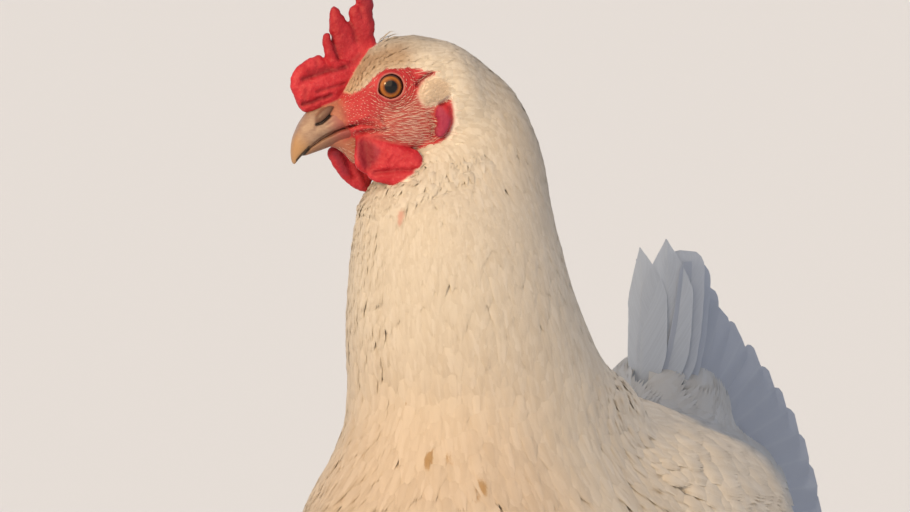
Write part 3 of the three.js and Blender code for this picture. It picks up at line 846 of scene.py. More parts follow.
def lockFaces(count, steps):
    # of count locks: the quads of their walls, and the triangles at their roots and tips
    ring = np.arange(3)
    nextRing = (ring + 1) % 3
    wall = np.stack([ring, nextRing, 3 + nextRing, 3 + ring], 1)
    walls = np.concatenate([wall + 3 * k for k in range(steps - 1)])
    last = 3 * (steps - 1)
    tips = np.stack([last + ring, last + nextRing, np.full(3, 3 * steps)], 1)
    ends = np.concatenate([tips, [[0, 2, 1]]])
    first = (np.arange(count) * (3 * steps + 1))[:, None, None]
    return (ends[None] + first).reshape(-1, 3), (walls[None] + first).reshape(-1, 4)


def growFeathers(name, skin, roots, patch, length, width, tipHeight, kind, seed, block=None):
    # each feather is a fan of thin barb locks along a spine; block tells where none may pass
    rng = np.random.default_rng(seed)
    locks, steps = kind["locks"], kind["steps"]
    spine, up, high, drop = walkSpines(skin, roots, length, tipHeight, kind, rng)
    if block is not None:
        free = ~np.any([block(spine[:, k]) for k in range(1, steps + 1)], axis=0)
        spine, up, high = spine[free], up[free], high[free]
        patch, width, drop = patch[free], width[free], drop[free]
    count, perLock = len(spine), 3 * steps + 1
    points, share, sideways = fanLocks(skin, spine, up, high, drop, width, kind, rng)
    piece = newObject(name, points, lockFaces(count * locks, steps))
    piece.data.set_sharp_from_angle(angle=math.radians(70))

    # each feather is a small patch at its root's place on the skin's unwrap
    flat = np.zeros((count, locks, perLock, 2), np.float32)
    for i, values in enumerate((sideways, share)):
        flat[:, :, :-1, i], flat[:, :, -1, i] = np.repeat(values[:, :, :steps], 3, 2), values[:, :, -1]
    bake = (patch[:, None, None] + (flat - [0, 0.5]) * patchSize).reshape(-1, 2)
    layer = piece.data.uv_layers.new(name="OFBake")
    layer.data.foreach_set("uv", bake[cornersOf(piece)].astype(np.float32).ravel())
    # how far across the feather, in millimetres, from a random start
    barb = flat[..., 0] * width[:, None, None] / mm + rng.uniform(0, 300, (count, 1, 1))
    tone = np.repeat(rng.random((count, locks)).ravel(), perLock)
    keep(piece, tone=tone, reach=flat[..., 1], barb=barb, streak=np.full(len(points), kind["streak"]),
         **plumeMarks(points))
    return piece


# How each kind of feather is built: locks side by side, each in so many steps along.
# stray turns a feather and loose varies its height; rise is how soon it stands up and dip how its tip sinks.
# rounded and ragged shape its end; opens, taper and splay its sides; puff and camber its upper face.
# fill, point and thick are a lock's width, how late it narrows, and its ridge; streak spreads its tones.
kinds = {
    "hackle": {
        "streak": 0.26, "locks": 7, "steps": 3, "stray": 0.07, "loose": 0.05, "rise": 5.5, "dip": 0.1,
        "rounded": 0.3, "ragged": 0.14, "opens": 0.5, "taper": 0.25, "splay": 0.05, "puff": 0.03,
        "camber": 0.03, "fill": 1.45, "point": 3.6, "thick": 0.1},
    "felt": {
        "streak": 0.75, "locks": 3, "steps": 3, "stray": 0.08, "loose": 0.08, "rise": 3.6, "dip": 0.22,
        "rounded": 0.25, "ragged": 0.2, "opens": 0.5, "taper": 0.2, "splay": 0.06, "puff": 0.03,
        "camber": 0.0, "fill": 1.1, "point": 2.4, "thick": 0.14},
    "vane": {
        "streak": 0.2, "locks": 8, "steps": 4, "stray": 0.05, "loose": 0.02, "rise": 6.0, "dip": 0.05,
        "rounded": 0.26, "ragged": 0.04, "opens": 0.5, "taper": 0.0, "splay": 0.02, "puff": 0.03,
        "camber": 0.03, "fill": 1.15, "point": 3.6, "thick": 0.07},
    "flight": {
        "streak": 0.12, "locks": 10, "steps": 8, "stray": 0.0, "loose": 0.0, "rise": 5.0, "dip": 0.04,
        "rounded": 0.1, "ragged": 0.02, "opens": 0.3, "taper": 0.25, "splay": 0.0, "puff": 0.02,
        "camber": 0.02, "fill": 1.2, "point": 7.0, "thick": 0.1},
    "fluff": {
        "streak": 0.3, "locks": 6, "steps": 3, "stray": 0.12, "loose": 0.06, "rise": 3.0, "dip": 0.08,
        "rounded": 0.3, "ragged": 0.2, "opens": 0.6, "taper": 0.1, "splay": 0.1, "puff": 0.1,
        "camber": 0.0, "fill": 1.1, "point": 2.6, "thick": 0.12},
    "bristle": {
        "streak": 0.2, "locks": 1, "steps": 3, "stray": 0.12, "loose": 0.25, "rise": 1.0, "dip": 0,
        "rounded": 0, "ragged": 0.1, "opens": 0.5, "taper": 0, "splay": 0, "puff": 0.08, "camber": 0,
        "fill": 0.5, "point": 1.5, "thick": 0.8},
}


def coatSizes(p, h):
    # spacing, length and width of the feathers in metres, at points in millimetres
    grown = np.clip((np.linalg.norm(h, axis=-1) - 14) / 110, 0, 1) ** 0.9
    back = ease(-85, -35, p[..., 1]) * ease(300, 270, p[..., 2])
    leg = ease(150, hockHeight + 10, p[..., 2]) * ease(14, 22, np.abs(p[..., 0]))
    ear = ease(1.0, -0.6, insidePolygon(h[..., 0], h[..., 2], face["tuft"])) * inHead(h)
    sizes = coat["head"]
    for place, share in (("neck", grown), ("back", back), ("leg", leg), ("ear", ear)):
        sizes = [lerp(size, there, share) for size, there in zip(sizes, coat[place])]
    return [size * mm for size in sizes]


plumageLook = {
    "colours": ((0.80, 0.755, 0.67), (0.91, 0.88, 0.81)), "clean": (0.96, 0.94, 0.89),
    "warm": (0.82, 0.64, 0.50), "paintedShadeBehind": (0.54, 0.64, 0.82), "paintedShadeFront": (0.62, 0.61, 0.61),  # multiplied in: the tan, then the bluish painted shade behind and the darker painted shade in front
    "mud": (0.42, 0.24, 0.07), "sore": (0.72, 0.28, 0.22),
    "under": (0.80, 0.76, 0.68),  # the skin beneath
    "glow": (0.9, 0.86, 0.78), "thin": 0.45,  # light through the feathers, and its share
}
skinLook = {
    "flesh": ((0.39, 0.011, 0.021), (0.48, 0.028, 0.042)), "grain": (0.66, 0.14, 0.15),
    "pale": (0.34, 0.065, 0.055), "purple": (0.26, 0.03, 0.085), "tan": (0.36, 0.135, 0.085),
    # deep is painted shade for the creases and shaded places, and purple is partly painted shade
    "deep": (0.20, 0.006, 0.012), "lid": (0.46, 0.23, 0.20), "eyeHole": (0.035, 0.008, 0.008),
    "scales": ((0.66, 0.50, 0.28), (0.74, 0.62, 0.42)),
}


def plumeShade(paint, shade):
    # the tan, the painted shade, the mud and the one sore spot, on the plumage and on the skin beneath it
    # alike
    for name in ("warm", "paintedShadeBehind", "paintedShadeFront"):
        shade = paint.mix(paint.attribute(name), shade, paint.mix(1.0, shade, plumageLook[name], "MULTIPLY"))
    dirt, grain = paint.attribute("dirt"), paint.noise(paint.place(), 1500, 2, 0.6)
    shade = paint.mix(paint.ramp(dirt * (grain + 0.5), 0.25, 0.6) * 0.8, shade, plumageLook["mud"])
    return paint.mix(paint.ramp(0.0 - dirt, 0.12, 0.4) * 0.55, shade, plumageLook["sore"])


def plumagePaint():
    paint = Paint("plumage", (0.86, 0.82, 0.74), 0.62)
    tone, reach, barb = paint.attribute("tone"), paint.attribute("reach"), paint.attribute("barb")
    hairs = paint.node("CombineXYZ", {}, {0: barb * 4.0, 1: reach * 2.0, 2: tone * 40.0})
    bands = paint.node("CombineXYZ", {}, {0: barb * 0.9, 1: reach * 0.8})
    fine, wide = paint.noise(hairs, 1.0, 2, 0.6), paint.noise(bands, 1.0, 1, 0.5)
    streaks = wide * 0.5 + fine * 0.3 + 0.1 + (tone - 0.5) * paint.attribute("streak")
    shade = paint.mix(paint.ramp(streaks, 0.3, 0.7), *plumageLook["colours"])
    cleanest = paint.ramp(tone, 0.9, 0.97) * paint.ramp(reach, 0.3, 0.7) * 0.6
    paint.feed("Base Color", plumeShade(paint, paint.mix(cleanest, shade, plumageLook["clean"])))
    paint.thin(plumageLook["thin"], plumageLook["glow"])
    return paint.material


def skinPaint():
    # red where the face is bare, the feathers' own white under the coat, horn-yellow on the shanks
    paint = Paint("skin", (0.5, 0.05, 0.05), 0.46, Specular_IOR_Level=0.28)
    fine, wide = paint.noise(paint.place(), 900, 3, 0.6), paint.noise(paint.place(), 170, 3, 0.55)
    flesh = paint.mix(paint.ramp(wide, 0.35, 0.7), *skinLook["flesh"])
    flesh = paint.mix(paint.ramp(fine, 0.5, 0.8) * 0.3, flesh, skinLook["grain"])
    # pale and tan are the skin's own colours; deep is painted shade and purple is partly painted shade
    for name in ("pale", "purple", "tan", "deep"):
        flesh = paint.mix(paint.attribute(name), flesh, skinLook[name])
    way = paint.attribute("eyeWay")
    lid = paint.ramp(way, 4.55, 4.75) * (1 - paint.ramp(way, 5.0, 5.3))
    flesh = paint.mix(lid * 0.6, flesh, skinLook["lid"])
    flesh = paint.mix(1 - paint.ramp(way, 4.5, 4.68), flesh, skinLook["eyeHole"])
    scales = paint.mix(paint.ramp(wide, 0.3, 0.7), *skinLook["scales"])
    covered = paint.mix(paint.attribute("leg"), plumeShade(paint, plumageLook["under"]), scales)
    red = paint.attribute("red")
    paint.feed("Base Color", paint.mix(red, covered, flesh))
    wrinkles = paint.math("SINE", way * 7.6) * paint.attribute("wrinkle") * 0.35
    paint.bump((fine + wrinkles) * red, 0.7, 0.0006)
    return paint.material


def skinMarks(points, skin):
    # the shares, from 0 to 1, that skinPaint colours the skin by
    h = toHead(points)
    x, y, z = h[:, 0], h[:, 1], h[:, 2]
    side, near = np.abs(y), inHead(h)
    proud = ease(0.3, 0.8, skin.at(points)[0] / mm) * near
    bare = faceMask(x, y, z) * near
    lobe = proud * (side > 12) * (x < -6) * (x > -18.5) * (z > -26) * (z < -12)
    wattle = proud * (z < -12) * (1 - lobe)
    crest = proud * (z > -1) * (side < 7)
    onFace = (1 - crest) * (side > 5) * bare
    # deep is painted shade: darker in the creases of the comb and the face
    deep = np.maximum(crest * np.clip(pressed(x, z, comb["creases"]), 0, 1),
                      onFace * np.clip(pressed(x, z, face["creases"]) - 0.15, 0, 1) * (1 - wattle))
    # violet is the ear lobe's own lilac, and painted shade on the comb's rear
    violet = lobe * ease(-16.2, -14.2, x - 0.25 * (z + 18)) * 0.62
    violet = violet + crest * 0.5 * ease(-3, -8, x - 0.1 * (z - 24))
    for each in wattles:
        on = wattle * (np.sign(y) == np.sign(each["side"]))
        # painted shade: darker in each wattle's creases, and darker and violet over its shaded outline
        shaded = on * ease(1.2, -1.2, insidePolygon(x, z, each["shade"]))
        deep = np.maximum(deep, on * 0.45 * np.clip(pressed(x, z, each["creases"]), 0, 1) + 0.45 * shaded)
        violet = np.maximum(violet, 0.5 * shaded)
    # painted shade on the comb's upper blades, and more on its rear blade
    deep = np.maximum(deep, 0.35 * crest * ease(15, 20, z) * ease(19, 14, x))
    deep = np.maximum(deep, 0.7 * crest * ease(1, -5, x) * ease(12, 18, z))
    pale = bare * (1 - proud) * lerp(0.2, 0.95, ease(1.3, 0.5, cheekReach(x, z)))
    brown = (1 - proud) * ease(17, 22.5, x + 0.25 * (z + 6)) * bare * (z < 2)
    underBill = ease(12, 17, x) * (side < 5.2) * ease(-12, -14, z) * (1 - wattle * (side > 3)) * near
    brown = np.maximum(brown, underBill)
    way = np.where((side > 8) & near, eyeReach(x, z), 20)
    wrinkle = ease(5.2, 6, way) * ease(10.5, 9, way) * (x < 3)
    leg = ease(hockHeight + 16, hockHeight + 6, points[:, 2] / mm)
    return {"red": np.maximum(bare, proud), "pale": pale, "deep": deep, "purple": np.clip(violet, 0, 1),
            "tan": np.clip(brown, 0, 1), "eyeWay": way, "wrinkle": wrinkle, "leg": leg, **plumeMarks(points)}


keptShare = 0.67  # of the skin's faces that are kept


def thinCovered(piece, skin):
    # fewer faces where the coat covers the skin
    marks = skinMarks(pointsOf(piece.data), skin)
    covered = (marks["red"] < 0.01) & (marks["leg"] < 0.01) & (marks["eyeWay"] > 7)
    piece.vertex_groups.new(name="covered").add(np.nonzero(covered)[0].tolist(), 1.0, "REPLACE")
    thin = piece.modifiers.new("thin", "DECIMATE")
    thin.ratio, thin.vertex_group, thin.vertex_group_factor = keptShare, "covered", 1000
    mesh = bpy.data.meshes.new_from_object(piece.evaluated_get(bpy.context.evaluated_depsgraph_get()))
    piece.modifiers.clear()
    piece.vertex_groups.clear()
    piece.data = mesh


def makeSkin():
    skinValues, baldValues, skinLow, headStep = headSkin()
    report("head field")
    bodyValues, bodyLow = bodySkin()
    legValues, legLow = legSkin()
    fields = {
        "body": (bodyValues, bodyLow, bodyStep), "head": (skinValues, skinLow, headStep),
        "leg": (legValues, legLow, legStep),
    }
    parts = []
    for name, field in fields.items():
        points, triangles, quads = meshOf(*field)
        points = fromHead(points) if name == "head" else points
        parts.append(newObject(name + "_part", points, [triangles, quads]))
    piece = joinedSkin(parts)
    skin = Skin(baldValues, skinLow, headStep, bodyValues, bodyLow)
    thinCovered(piece, skin)
    unwrap(piece)
    keep(piece, **skinMarks(pointsOf(piece.data), skin))
    pairs = [f"{part}_{side}" for part in ("wattle", "earlobe") for side in ("left", "right")]
    finishPiece(piece, skinPaint(), "plumage", *fleshNodes, *legNodes, "head", "comb", *pairs)
    return skin, Surface(piece), Field(skinValues, skinLow, headStep)


def feathered(skin, places):
    # whether feathers grow at places on the skin
    h = toHead(places)
    x, y, z = h[:, 0], h[:, 1], h[:, 2]
    near = inHead(h)
    bare = faceMask(x, y, z) * ease(-34, -26, x) * ease(-50, -40, z) >= 0.5
    proud = near & (skin.at(places)[0] > 0.5 * mm)  # comb, wattles and ear lobes
    nearEye = near & (np.hypot(x, z) < 7) & (np.abs(y) > 7)
    front = (x > 19) & (z > -14) | (x > 12) & (z > -28)
    forehead = near & (x > 10) & (x < 18) & (z > 2)
    return ~bare & ~proud & ~nearEye & (~front & (places[:, 2] / mm > hockHeight) | forehead)


def coatSplit(p, h):
    # the coat's pieces: name, kind of feather, and which roots are its own
    onHead = np.linalg.norm(h, axis=-1) < 48
    back = ~onHead & (p[:, 1] > -70) & (p[:, 2] < 300) & (p[:, 2] > 150)
    low = ~onHead & ~back & (p[:, 2] < 190) | (p[:, 2] <= 150)
    upper = ~onHead & ~back & ~low & (p[:, 2] > 285)
    lower = ~onHead & ~back & ~low & ~upper
    high, rear = p[:, 2] > np.median(p[upper, 2]), p[:, 1] > np.median(p[back, 1])
    return [
        ("felt", "felt", onHead), ("hackle_high", "hackle", upper & high),
        ("hackle_low", "hackle", upper & ~high), ("breast_feathers", "hackle", lower),
        ("back_feathers", "vane", back & ~rear), ("rump_feathers", "vane", back & rear),
        ("belly_feathers", "fluff", low)]


def makeCoat(skin, surface, fullHead):
    spacing, _, _ = coatSizes(surface.middle / mm, toHead(surface.middle))
    roots, patch = surface.scatter(np.where(feathered(skin, surface.middle), spacing, 0), 3)
    p, h = roots / mm, toHead(roots)
    _, length, width = coatSizes(p, h)
    edge = ease(0, 3, insidePolygon(h[:, 0], h[:, 2], face["bare"]))
    edge = np.where(inHead(h) & (np.abs(h[:, 1]) > 5), edge, 1)  # low and short next to the bare skin
    middle, radii = coat["stuckTuft"]
    stuck = np.exp(-(((h - middle) / radii) ** 2).sum(1))
    throat = coat["throat"] * ease(-10, -24, p[:, 0]) * ease(225, 255, p[:, 2]) * ease(374, 362, p[:, 2])
    throat = throat * ease(-80, -100, p[:, 1])
    ear = ease(1.0, -0.6, insidePolygon(h[:, 0], h[:, 2], face["tuft"])) * inHead(h)
    cape = coat["cape"] * ease(-112, -40, p[:, 1]) * ease(130, 55, p[:, 1])
    cape = cape * ease(206, 240, p[:, 2]) * ease(300, 280, p[:, 2])
    tip = coatDepth(p, h) * lerp(0.5, 1, edge) * (1 + 3.6 * stuck) * lerp(1, 0.5, ear) + throat + cape
    length = length * lerp(0.7, 1, edge) * (1 + 0.7 * stuck)
    width = width * (1 - 0.35 * stuck)

    def blocked(points):
        h = toHead(points)
        deepest = np.where(h[:, 2] < -20, -1.3, -0.1)  # they may run into a wattle, and not through it
        return (fullHead.at(h)[0] < deepest) & inHead(h) & (skin.at(points)[0] > 0.0006)

    paint = plumagePaint()
    for name, kind, own in coatSplit(p, h):
        piece = growFeathers(name, skin, roots[own], patch[own], length[own], width[own], tip[own] * mm,
                             kinds[kind], 5, blocked)
        finishPiece(piece, paint, "plumage")
    return paint


bristles = {
    "spacing": (1.0, 0.72), "width": (0.29, 0.24), "height": 0.45,  # in millimetres, as the lengths are
    "length": {"cheek": 4.6, "bill": 1.3, "throat": 5.2, "brow": 2.2, "eye": 1.9},
    "root": (0.42, 0.11, 0.09), "tips": ((0.54, 0.33, 0.27), (0.72, 0.60, 0.52)),
}


def cheekReach(x, z):
    # grows from 0 in the middle of the cheek, where the bristles are thickest
    return np.hypot(x / 13, (z + 14) / 10)


def faceBristles(skin, surface, fullHead):
    h = toHead(surface.middle)
    x, y, z = h[:, 0], h[:, 1], h[:, 2]
    near = inHead(h)
    low = skin.at(surface.middle)[0] < 0.25 * mm
    onFace = near & low & (faceMask(x, y, z) > 0.3) & (np.hypot(x, z) > 6) & (x < 19.5) & (np.abs(y) > 3)
    chin = near & low & (z < -14) & (z > -24) & (np.abs(y) < 8) & (x > 14) & (x < 27)
    spacing = lerp(*bristles["spacing"], ease(1.4, 0.7, cheekReach(x, z)))
    roots, patch = surface.scatter(np.where(onFace | chin, spacing * mm, 0), 21)
    h = toHead(roots)
    x, z = h[:, 0], h[:, 2]
    lengths = bristles["length"]
    length = lerp(lengths["cheek"], lengths["bill"], ease(2, 14, x))
    length = lerp(length, lengths["throat"], ease(-10, -19, z))
    length = lerp(length, lengths["brow"], ease(14.5, 17, x) * ease(-1, 2, z))
    length = np.where(np.hypot(x, z) < 8.5, lengths["eye"], length) * mm
    width = lerp(*bristles["width"], ease(4, 14, x)) * mm
    tip = np.full(len(roots), bristles["height"] * mm)

    def blocked(points):
        return (fullHead.at(toHead(points))[0] < -0.1) & (skin.at(points)[0] > 0.0008)

    return growFeathers("face_bristles", skin, roots, patch, length, width, tip,
                        kinds["bristle"], 22, blocked)


def bristlePaint():
    paint = Paint("bristle", (0.86, 0.70, 0.58), 0.5)
    tip = paint.mix(paint.attribute("tone"), *bristles["tips"])
    reach = paint.ramp(paint.attribute("reach"), 0.05, 0.6)
    paint.feed("Base Color", paint.mix(reach, bristles["root"], tip))
    return paint.material


wing = {  # angles in degrees from straight up, round a level line in the body; the rest in millimetres
    "feathers": 9, "angles": (50, 112), "line": 200, "radius": 60, "startY": (34, 78), "endY": (118, 146),
    "width": 15, "height": (7.2, 7.5),
}


def flightFeathers(skin, surface, word):
    # long feathers closing over the flank and rump, the upper ones over the lower
    side = 1 if word == "left" else -1
    count = wing["feathers"]
    share = np.linspace(0, 1, count)
    angle = np.radians(lerp(*wing["angles"], share))
    y = lerp(wing["startY"][1], wing["startY"][0], share)
    tips = lerp(wing["endY"][1], wing["endY"][0], share**1.6)
    radius = wing["radius"]
    roots = np.stack([side * radius * np.sin(angle), y, wing["line"] + radius * np.cos(angle)], 1) * mm
    for _ in range(6):  # down onto the skin
        value, normal = skin.at(roots)
        roots = roots - normal * value[:, None]
    length = (tips - y) * mm * 1.02
    low, high = wing["height"]
    width, height = np.full(count, wing["width"] * mm), lerp(low * mm, high * mm, share)
    return growFeathers("wing_feathers_" + word, skin, roots, surface.nearest(roots), length, width, height,
                        kinds["flight"], 40 + side)


eye = {
    "pupil": 2.4, "iris": 4.3, "cornea": 0.45,  # two radii, and how far the cornea stands out, in millimetres
    "turns": 64, "rows": 40,
    "amber": ((0.10, 0.024, 0.004), (0.35, 0.115, 0.009)), "spokes": (0.24, 0.065, 0.006),
    "edge": (0.06, 0.014, 0.004),
    "black": (0.002, 0.0015, 0.0015), "round": (0.012, 0.006, 0.005),
}


def eyeball(side, word):
    turns, rows = eye["turns"], eye["rows"]
    theta = np.linspace(0, np.pi, rows + 1)[1:-1]
    phi = np.linspace(0, 2 * np.pi, turns, endpoint=False)
    r = head["eyeRadius"] + eye["cornea"] * np.exp(-((theta / 0.75) ** 4))
    wide, deep = (r * np.sin(theta))[:, None], (r * np.cos(theta))[:, None]
    ring = np.stack([wide * np.cos(phi), np.repeat(deep, turns, 1), wide * np.sin(phi)], -1)
    first, last = [0, head["eyeRadius"] + eye["cornea"], 0], [0, -head["eyeRadius"], 0]
    points = np.concatenate([[first], ring.reshape(-1, 3), [last]])
    points[:, 1] = side * (points[:, 1] + head["eyeSide"])
    k = np.arange(turns)
    after = (k + 1) % turns
    quads = np.concatenate([np.stack([1 + i * turns + k, 1 + i * turns + after, 1 + (i + 1) * turns + after,
                                      1 + (i + 1) * turns + k], 1) for i in range(rows - 2)])
    end = len(points) - 1
    caps = np.concatenate([np.stack([0 * k, 1 + after, 1 + k], 1),
                           np.stack([0 * k + end, end - turns + k, end - turns + after], 1)])
    if side > 0:
        quads, caps = quads[:, ::-1], caps[:, ::-1]
    piece = newObject("eyeball_" + word, fromHead(points), [quads, caps])
    across = np.hypot(points[:, 0] - 0.4, points[:, 2])
    keep(piece, across=np.where(points[:, 1] * side > head["eyeSide"], across, 9))
    return piece


def eyePaint():
    paint = Paint("iris", (0.5, 0.2, 0.02), 0.2,
                  Coat_Weight=0.45, Coat_Roughness=0.03, Specular_IOR_Level=0.15)
    across = paint.attribute("across")
    spoke = paint.noise(paint.place(), 2600, 2, 0.6)
    amber = paint.mix(paint.ramp(across, 2.4, 3.4), *eye["amber"])
    amber = paint.mix(paint.ramp(spoke, 0.35, 0.75) * 0.5, amber, eye["spokes"])
    amber = paint.mix(paint.ramp(across, 3.5, 4.15), amber, eye["edge"])
    shade = paint.mix(paint.ramp(across, eye["pupil"] - 0.25, eye["pupil"] + 0.2), eye["black"], amber)
    outside = paint.ramp(across, eye["iris"] - 0.15, eye["iris"] + 0.1)
    paint.feed("Base Color", paint.mix(outside, shade, eye["round"]))
    return paint.material


bill = {
    "step": 0.42,
    # the horny flap over the nostril: x, z, half length, half height and tilt
    "flap": (26.0, -0.9, 4.4, 2.0, -0.32),
    "slit": [(30.2, -3.3), (28.4, -3.5), (26.3, -2.9), (24.5, -2.1), (22, -0.8)],
    "groove": [([(31, -4.6), (27.6, -5), (25, -4.6)], 0.6, 0.25)],
    "grow": {"bill_upper": 0.32, "bill_lower": 0.22},
    "culmen": [
        (10, 20), (31.6, 2.2), (33.9, 0.2), (35.9, -1.4), (37.8, -3.3), (39.6, -5.2), (41.1, -7.2),
        (42.4, -9.4), (43.3, -11.7), (43.6, -13.6), (43, -15), (41.4, -14.6), (38, -13), (20, -20),
        (10, -20)],
    "keel": [
        (16, -15.6), (22.6, -14), (26.7, -13.6), (30.5, -13.5), (34.2, -13.3), (37.4, -13.1),
        (40, -12.4)],
}
billLook = {
    "horn": ((0.25, 0.155, 0.11), (0.315, 0.215, 0.155)), "tip": (0.36, 0.21, 0.10),
    "lower": (0.225, 0.11, 0.068), "base": (0.30, 0.07, 0.06), "flap": (0.13, 0.06, 0.035),
    # slit is painted shade in the nostril's opening
    "seam": (0.09, 0.03, 0.018), "mud": (0.05, 0.03, 0.018), "slit": (0.02, 0.01, 0.008),
}


def flapReach(x, z):
    # 1 at the rim of the flap over the nostril
    cx, cz, length, height, tilt = bill["flap"]
    cos, sin = math.cos(tilt), math.sin(tilt)
    a, b = (x - cx) * cos + (z - cz) * sin, (z - cz) * cos - (x - cx) * sin
    return np.hypot(a / length, b / height)


def billPiece(name):
    step = bill["step"]
    points, _ = cadShape([name], rowToHead)
    low = np.floor(points.min(0) / mm / step - 6).astype(int)
    high = np.ceil(points.max(0) / mm / step + 6).astype(int)
    values, low = denseField([name], step * mm, rowToHead, close=0.0, band=6, low=low, high=high)
    values, low = blurred(values / mm, 2) - bill["grow"][name], low / mm
    x, y, z = gridLines(values, low, step)
    side = np.abs(y)
    if name == "bill_lower":
        keel = np.interp(x, *zip(*bill["keel"])) + 0.1 * side**2
        closed = np.minimum(values, np.roll(values, 2, 2))  # against the upper half
        values = softMax(closed, keel - z, 1.2)
    else:
        values = softMax(values, insidePolygon(x, z, bill["culmen"]), 1.5)
        flap = (np.sqrt(flapReach(x, z) ** 2 + ((side - 5.4) / 2.0) ** 2) - 1) * 2.0
        values = softMin(values, flap, 0.7)
        values = values + 1.0 * np.exp(-((nearPath(x, z, bill["slit"]) / 0.5) ** 2)) * (side > 2.5)
        values = values + pressed(x, z, bill["groove"]) * (side > 2)
    points, triangles, quads = meshOf(values, low, step)
    piece = newObject(name.replace("bill", "horn"), fromHead(points), [triangles, quads])
    x, z = points[:, 0], points[:, 2]
    onFlank = (np.abs(points[:, 1]) > 2.2) * (name == "bill_upper")
    slit, seam = nearPath(x, z, bill["slit"]), nearPath(x, z, face["mouth"])
    keep(piece, base=ease(29, 20, x + 0.2 * (z + 6)), tip=ease(33, 40, x - 0.5 * (z + 8)),
         lower=np.full(len(x), name == "bill_lower"), flap=ease(1.15, 0.85, flapReach(x, z)) * onFlank,
         slit=ease(0.85, 0.3, slit) * onFlank, seam=ease(0.5, 0.15, seam),
         mud=ease(33, 37, x) * ease(1.5, 0.4, seam))
    return piece


def billPaint():
    paint = Paint("bill", (0.55, 0.36, 0.2), 0.42,
                  Coat_Weight=0.12, Coat_Roughness=0.3, Specular_IOR_Level=0.4)
    grain = paint.noise(paint.place(stretch=(1, 1, 2.5)), 420, 3, 0.6)
    clod = paint.noise(paint.place(), 1100, 2, 0.6)
    shade = paint.mix(paint.ramp(grain, 0.3, 0.75), *billLook["horn"])
    for name, strength in (("tip", 1.0), ("lower", 0.8), ("base", 1.0), ("flap", 0.95), ("seam", 0.8)):
        shade = paint.mix(paint.attribute(name) * strength, shade, billLook[name])
    shade = paint.mix(paint.ramp(paint.attribute("mud") * (clod + 0.45), 0.4, 0.7), shade, billLook["mud"])
    # painted shade in the nostril's slit
    paint.feed("Base Color", paint.mix(paint.attribute("slit"), shade, billLook["slit"]))
    paint.bump(grain + clod * paint.attribute("mud"), 0.25, 0.0005)
    return paint.material


claw = {
    "step": 0.32, "grow": 0.12,  # in millimetres
    "root": (0.42, 0.31, 0.19), "tip": (0.66, 0.56, 0.42),
}


def makeClaws():
    names = [f"claw_{toe}_{side}" for side in ("left", "right")
             for toe in ("inner", "middle", "outer", "back")]
    points, quads, triangles, tips, count = [], [], [], [], 0
    for name in names:
        values, low = denseField([name], claw["step"] * mm, close=0.0, band=5)
        place, three, four = meshOf(blurred(values, 3) - claw["grow"] * mm, low, claw["step"] * mm)
        points.append(place)
        triangles.append(three + count)
        quads.append(four + count)
        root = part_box(name.replace("claw", "toe"))
        far = np.linalg.norm(place - np.array((root[0] + root[1]) / 2), axis=1)
        tips.append((far - far.min()) / np.ptp(far))
        count += len(place)
    piece = newObject("claws", np.concatenate(points), [np.concatenate(triangles), np.concatenate(quads)])
    keep(piece, tip=np.concatenate(tips))
    paint = Paint("claw", (0.5, 0.4, 0.28), 0.38, Coat_Weight=0.1)
    tip = paint.ramp(paint.attribute("tip"), 0.1, 0.9)
    paint.feed("Base Color", paint.mix(tip, claw["root"], claw["tip"]))
    finishPiece(piece, paint.material, "claw", *names)


tail = {
    # where each quill of the left half starts and ends, from the ridge down, in millimetres
    "quills": [
        (0.3, 65, 254, -3, 87, 324), (4, 67, 253, 8, 88, 328), (7, 68, 250, 19, 91, 319),
        (10, 70, 246, 26, 108, 298), (11, 72, 240, 31, 138, 275), (12, 74, 234, 36, 155, 257),
        (11, 75, 228, 40, 169, 240), (11, 75, 221, 44, 180, 221), (11, 76, 214, 47, 181, 204)],
    "places": [0, 1, 1.5, 2, 2.5, 3, 3.6, 4.2, 4.8, 5.4, 6, 6.6, 7.3, 8],  # of the feathers
    # across the bird: at the ridge's roots, the lowest roots and the tips
    "spread": {"left": (1.0, 1.0, 1.0), "right": (0.5, 1.0, 0.32)},
    "swing": {"left": -5.0, "right": -6.0},  # of the tips, to her left
    "width": [9, 11, 11, 12, 13, 13, 13, 12, 11],  # half widths at the quills
    "rows": 30, "columns": 5, "thickness": 0.45, "shaft": 0.3,
    # painted shade: the white tail is coloured a bluish grey as if in shadow, the outer feathers darker
    "inner": ((0.33, 0.405, 0.53), (0.385, 0.465, 0.595)), "outer": (0.305, 0.365, 0.485),
    "quill": (0.40, 0.47, 0.57),
    "glow": (0.9, 0.9, 0.88), "thin": 0.3,  # light through the feathers, and its share
}


def quillPoint(q, t, word):
    # a point on quill q (0 to 8, fractions allowed) at share t of its length
    table = np.array(tail["quills"], float)
    values = [np.interp(q, np.arange(len(table)), table[:, i]) for i in range(6)]
    point = np.stack([lerp(values[i], values[i + 3], t) for i in range(3)], -1)
    bow = 2 * np.sin(np.pi * t) * np.clip(q, 0, 1)
    side = 1 if word == "left" else -1
    ridge, low, tips = tail["spread"][word]
    root = np.interp(q, [2, 4], [ridge, low])
    point[..., 0] = side * lerp(root, tips, t) * (point[..., 0] + bow) + tail["swing"][word] * t**2
    return point


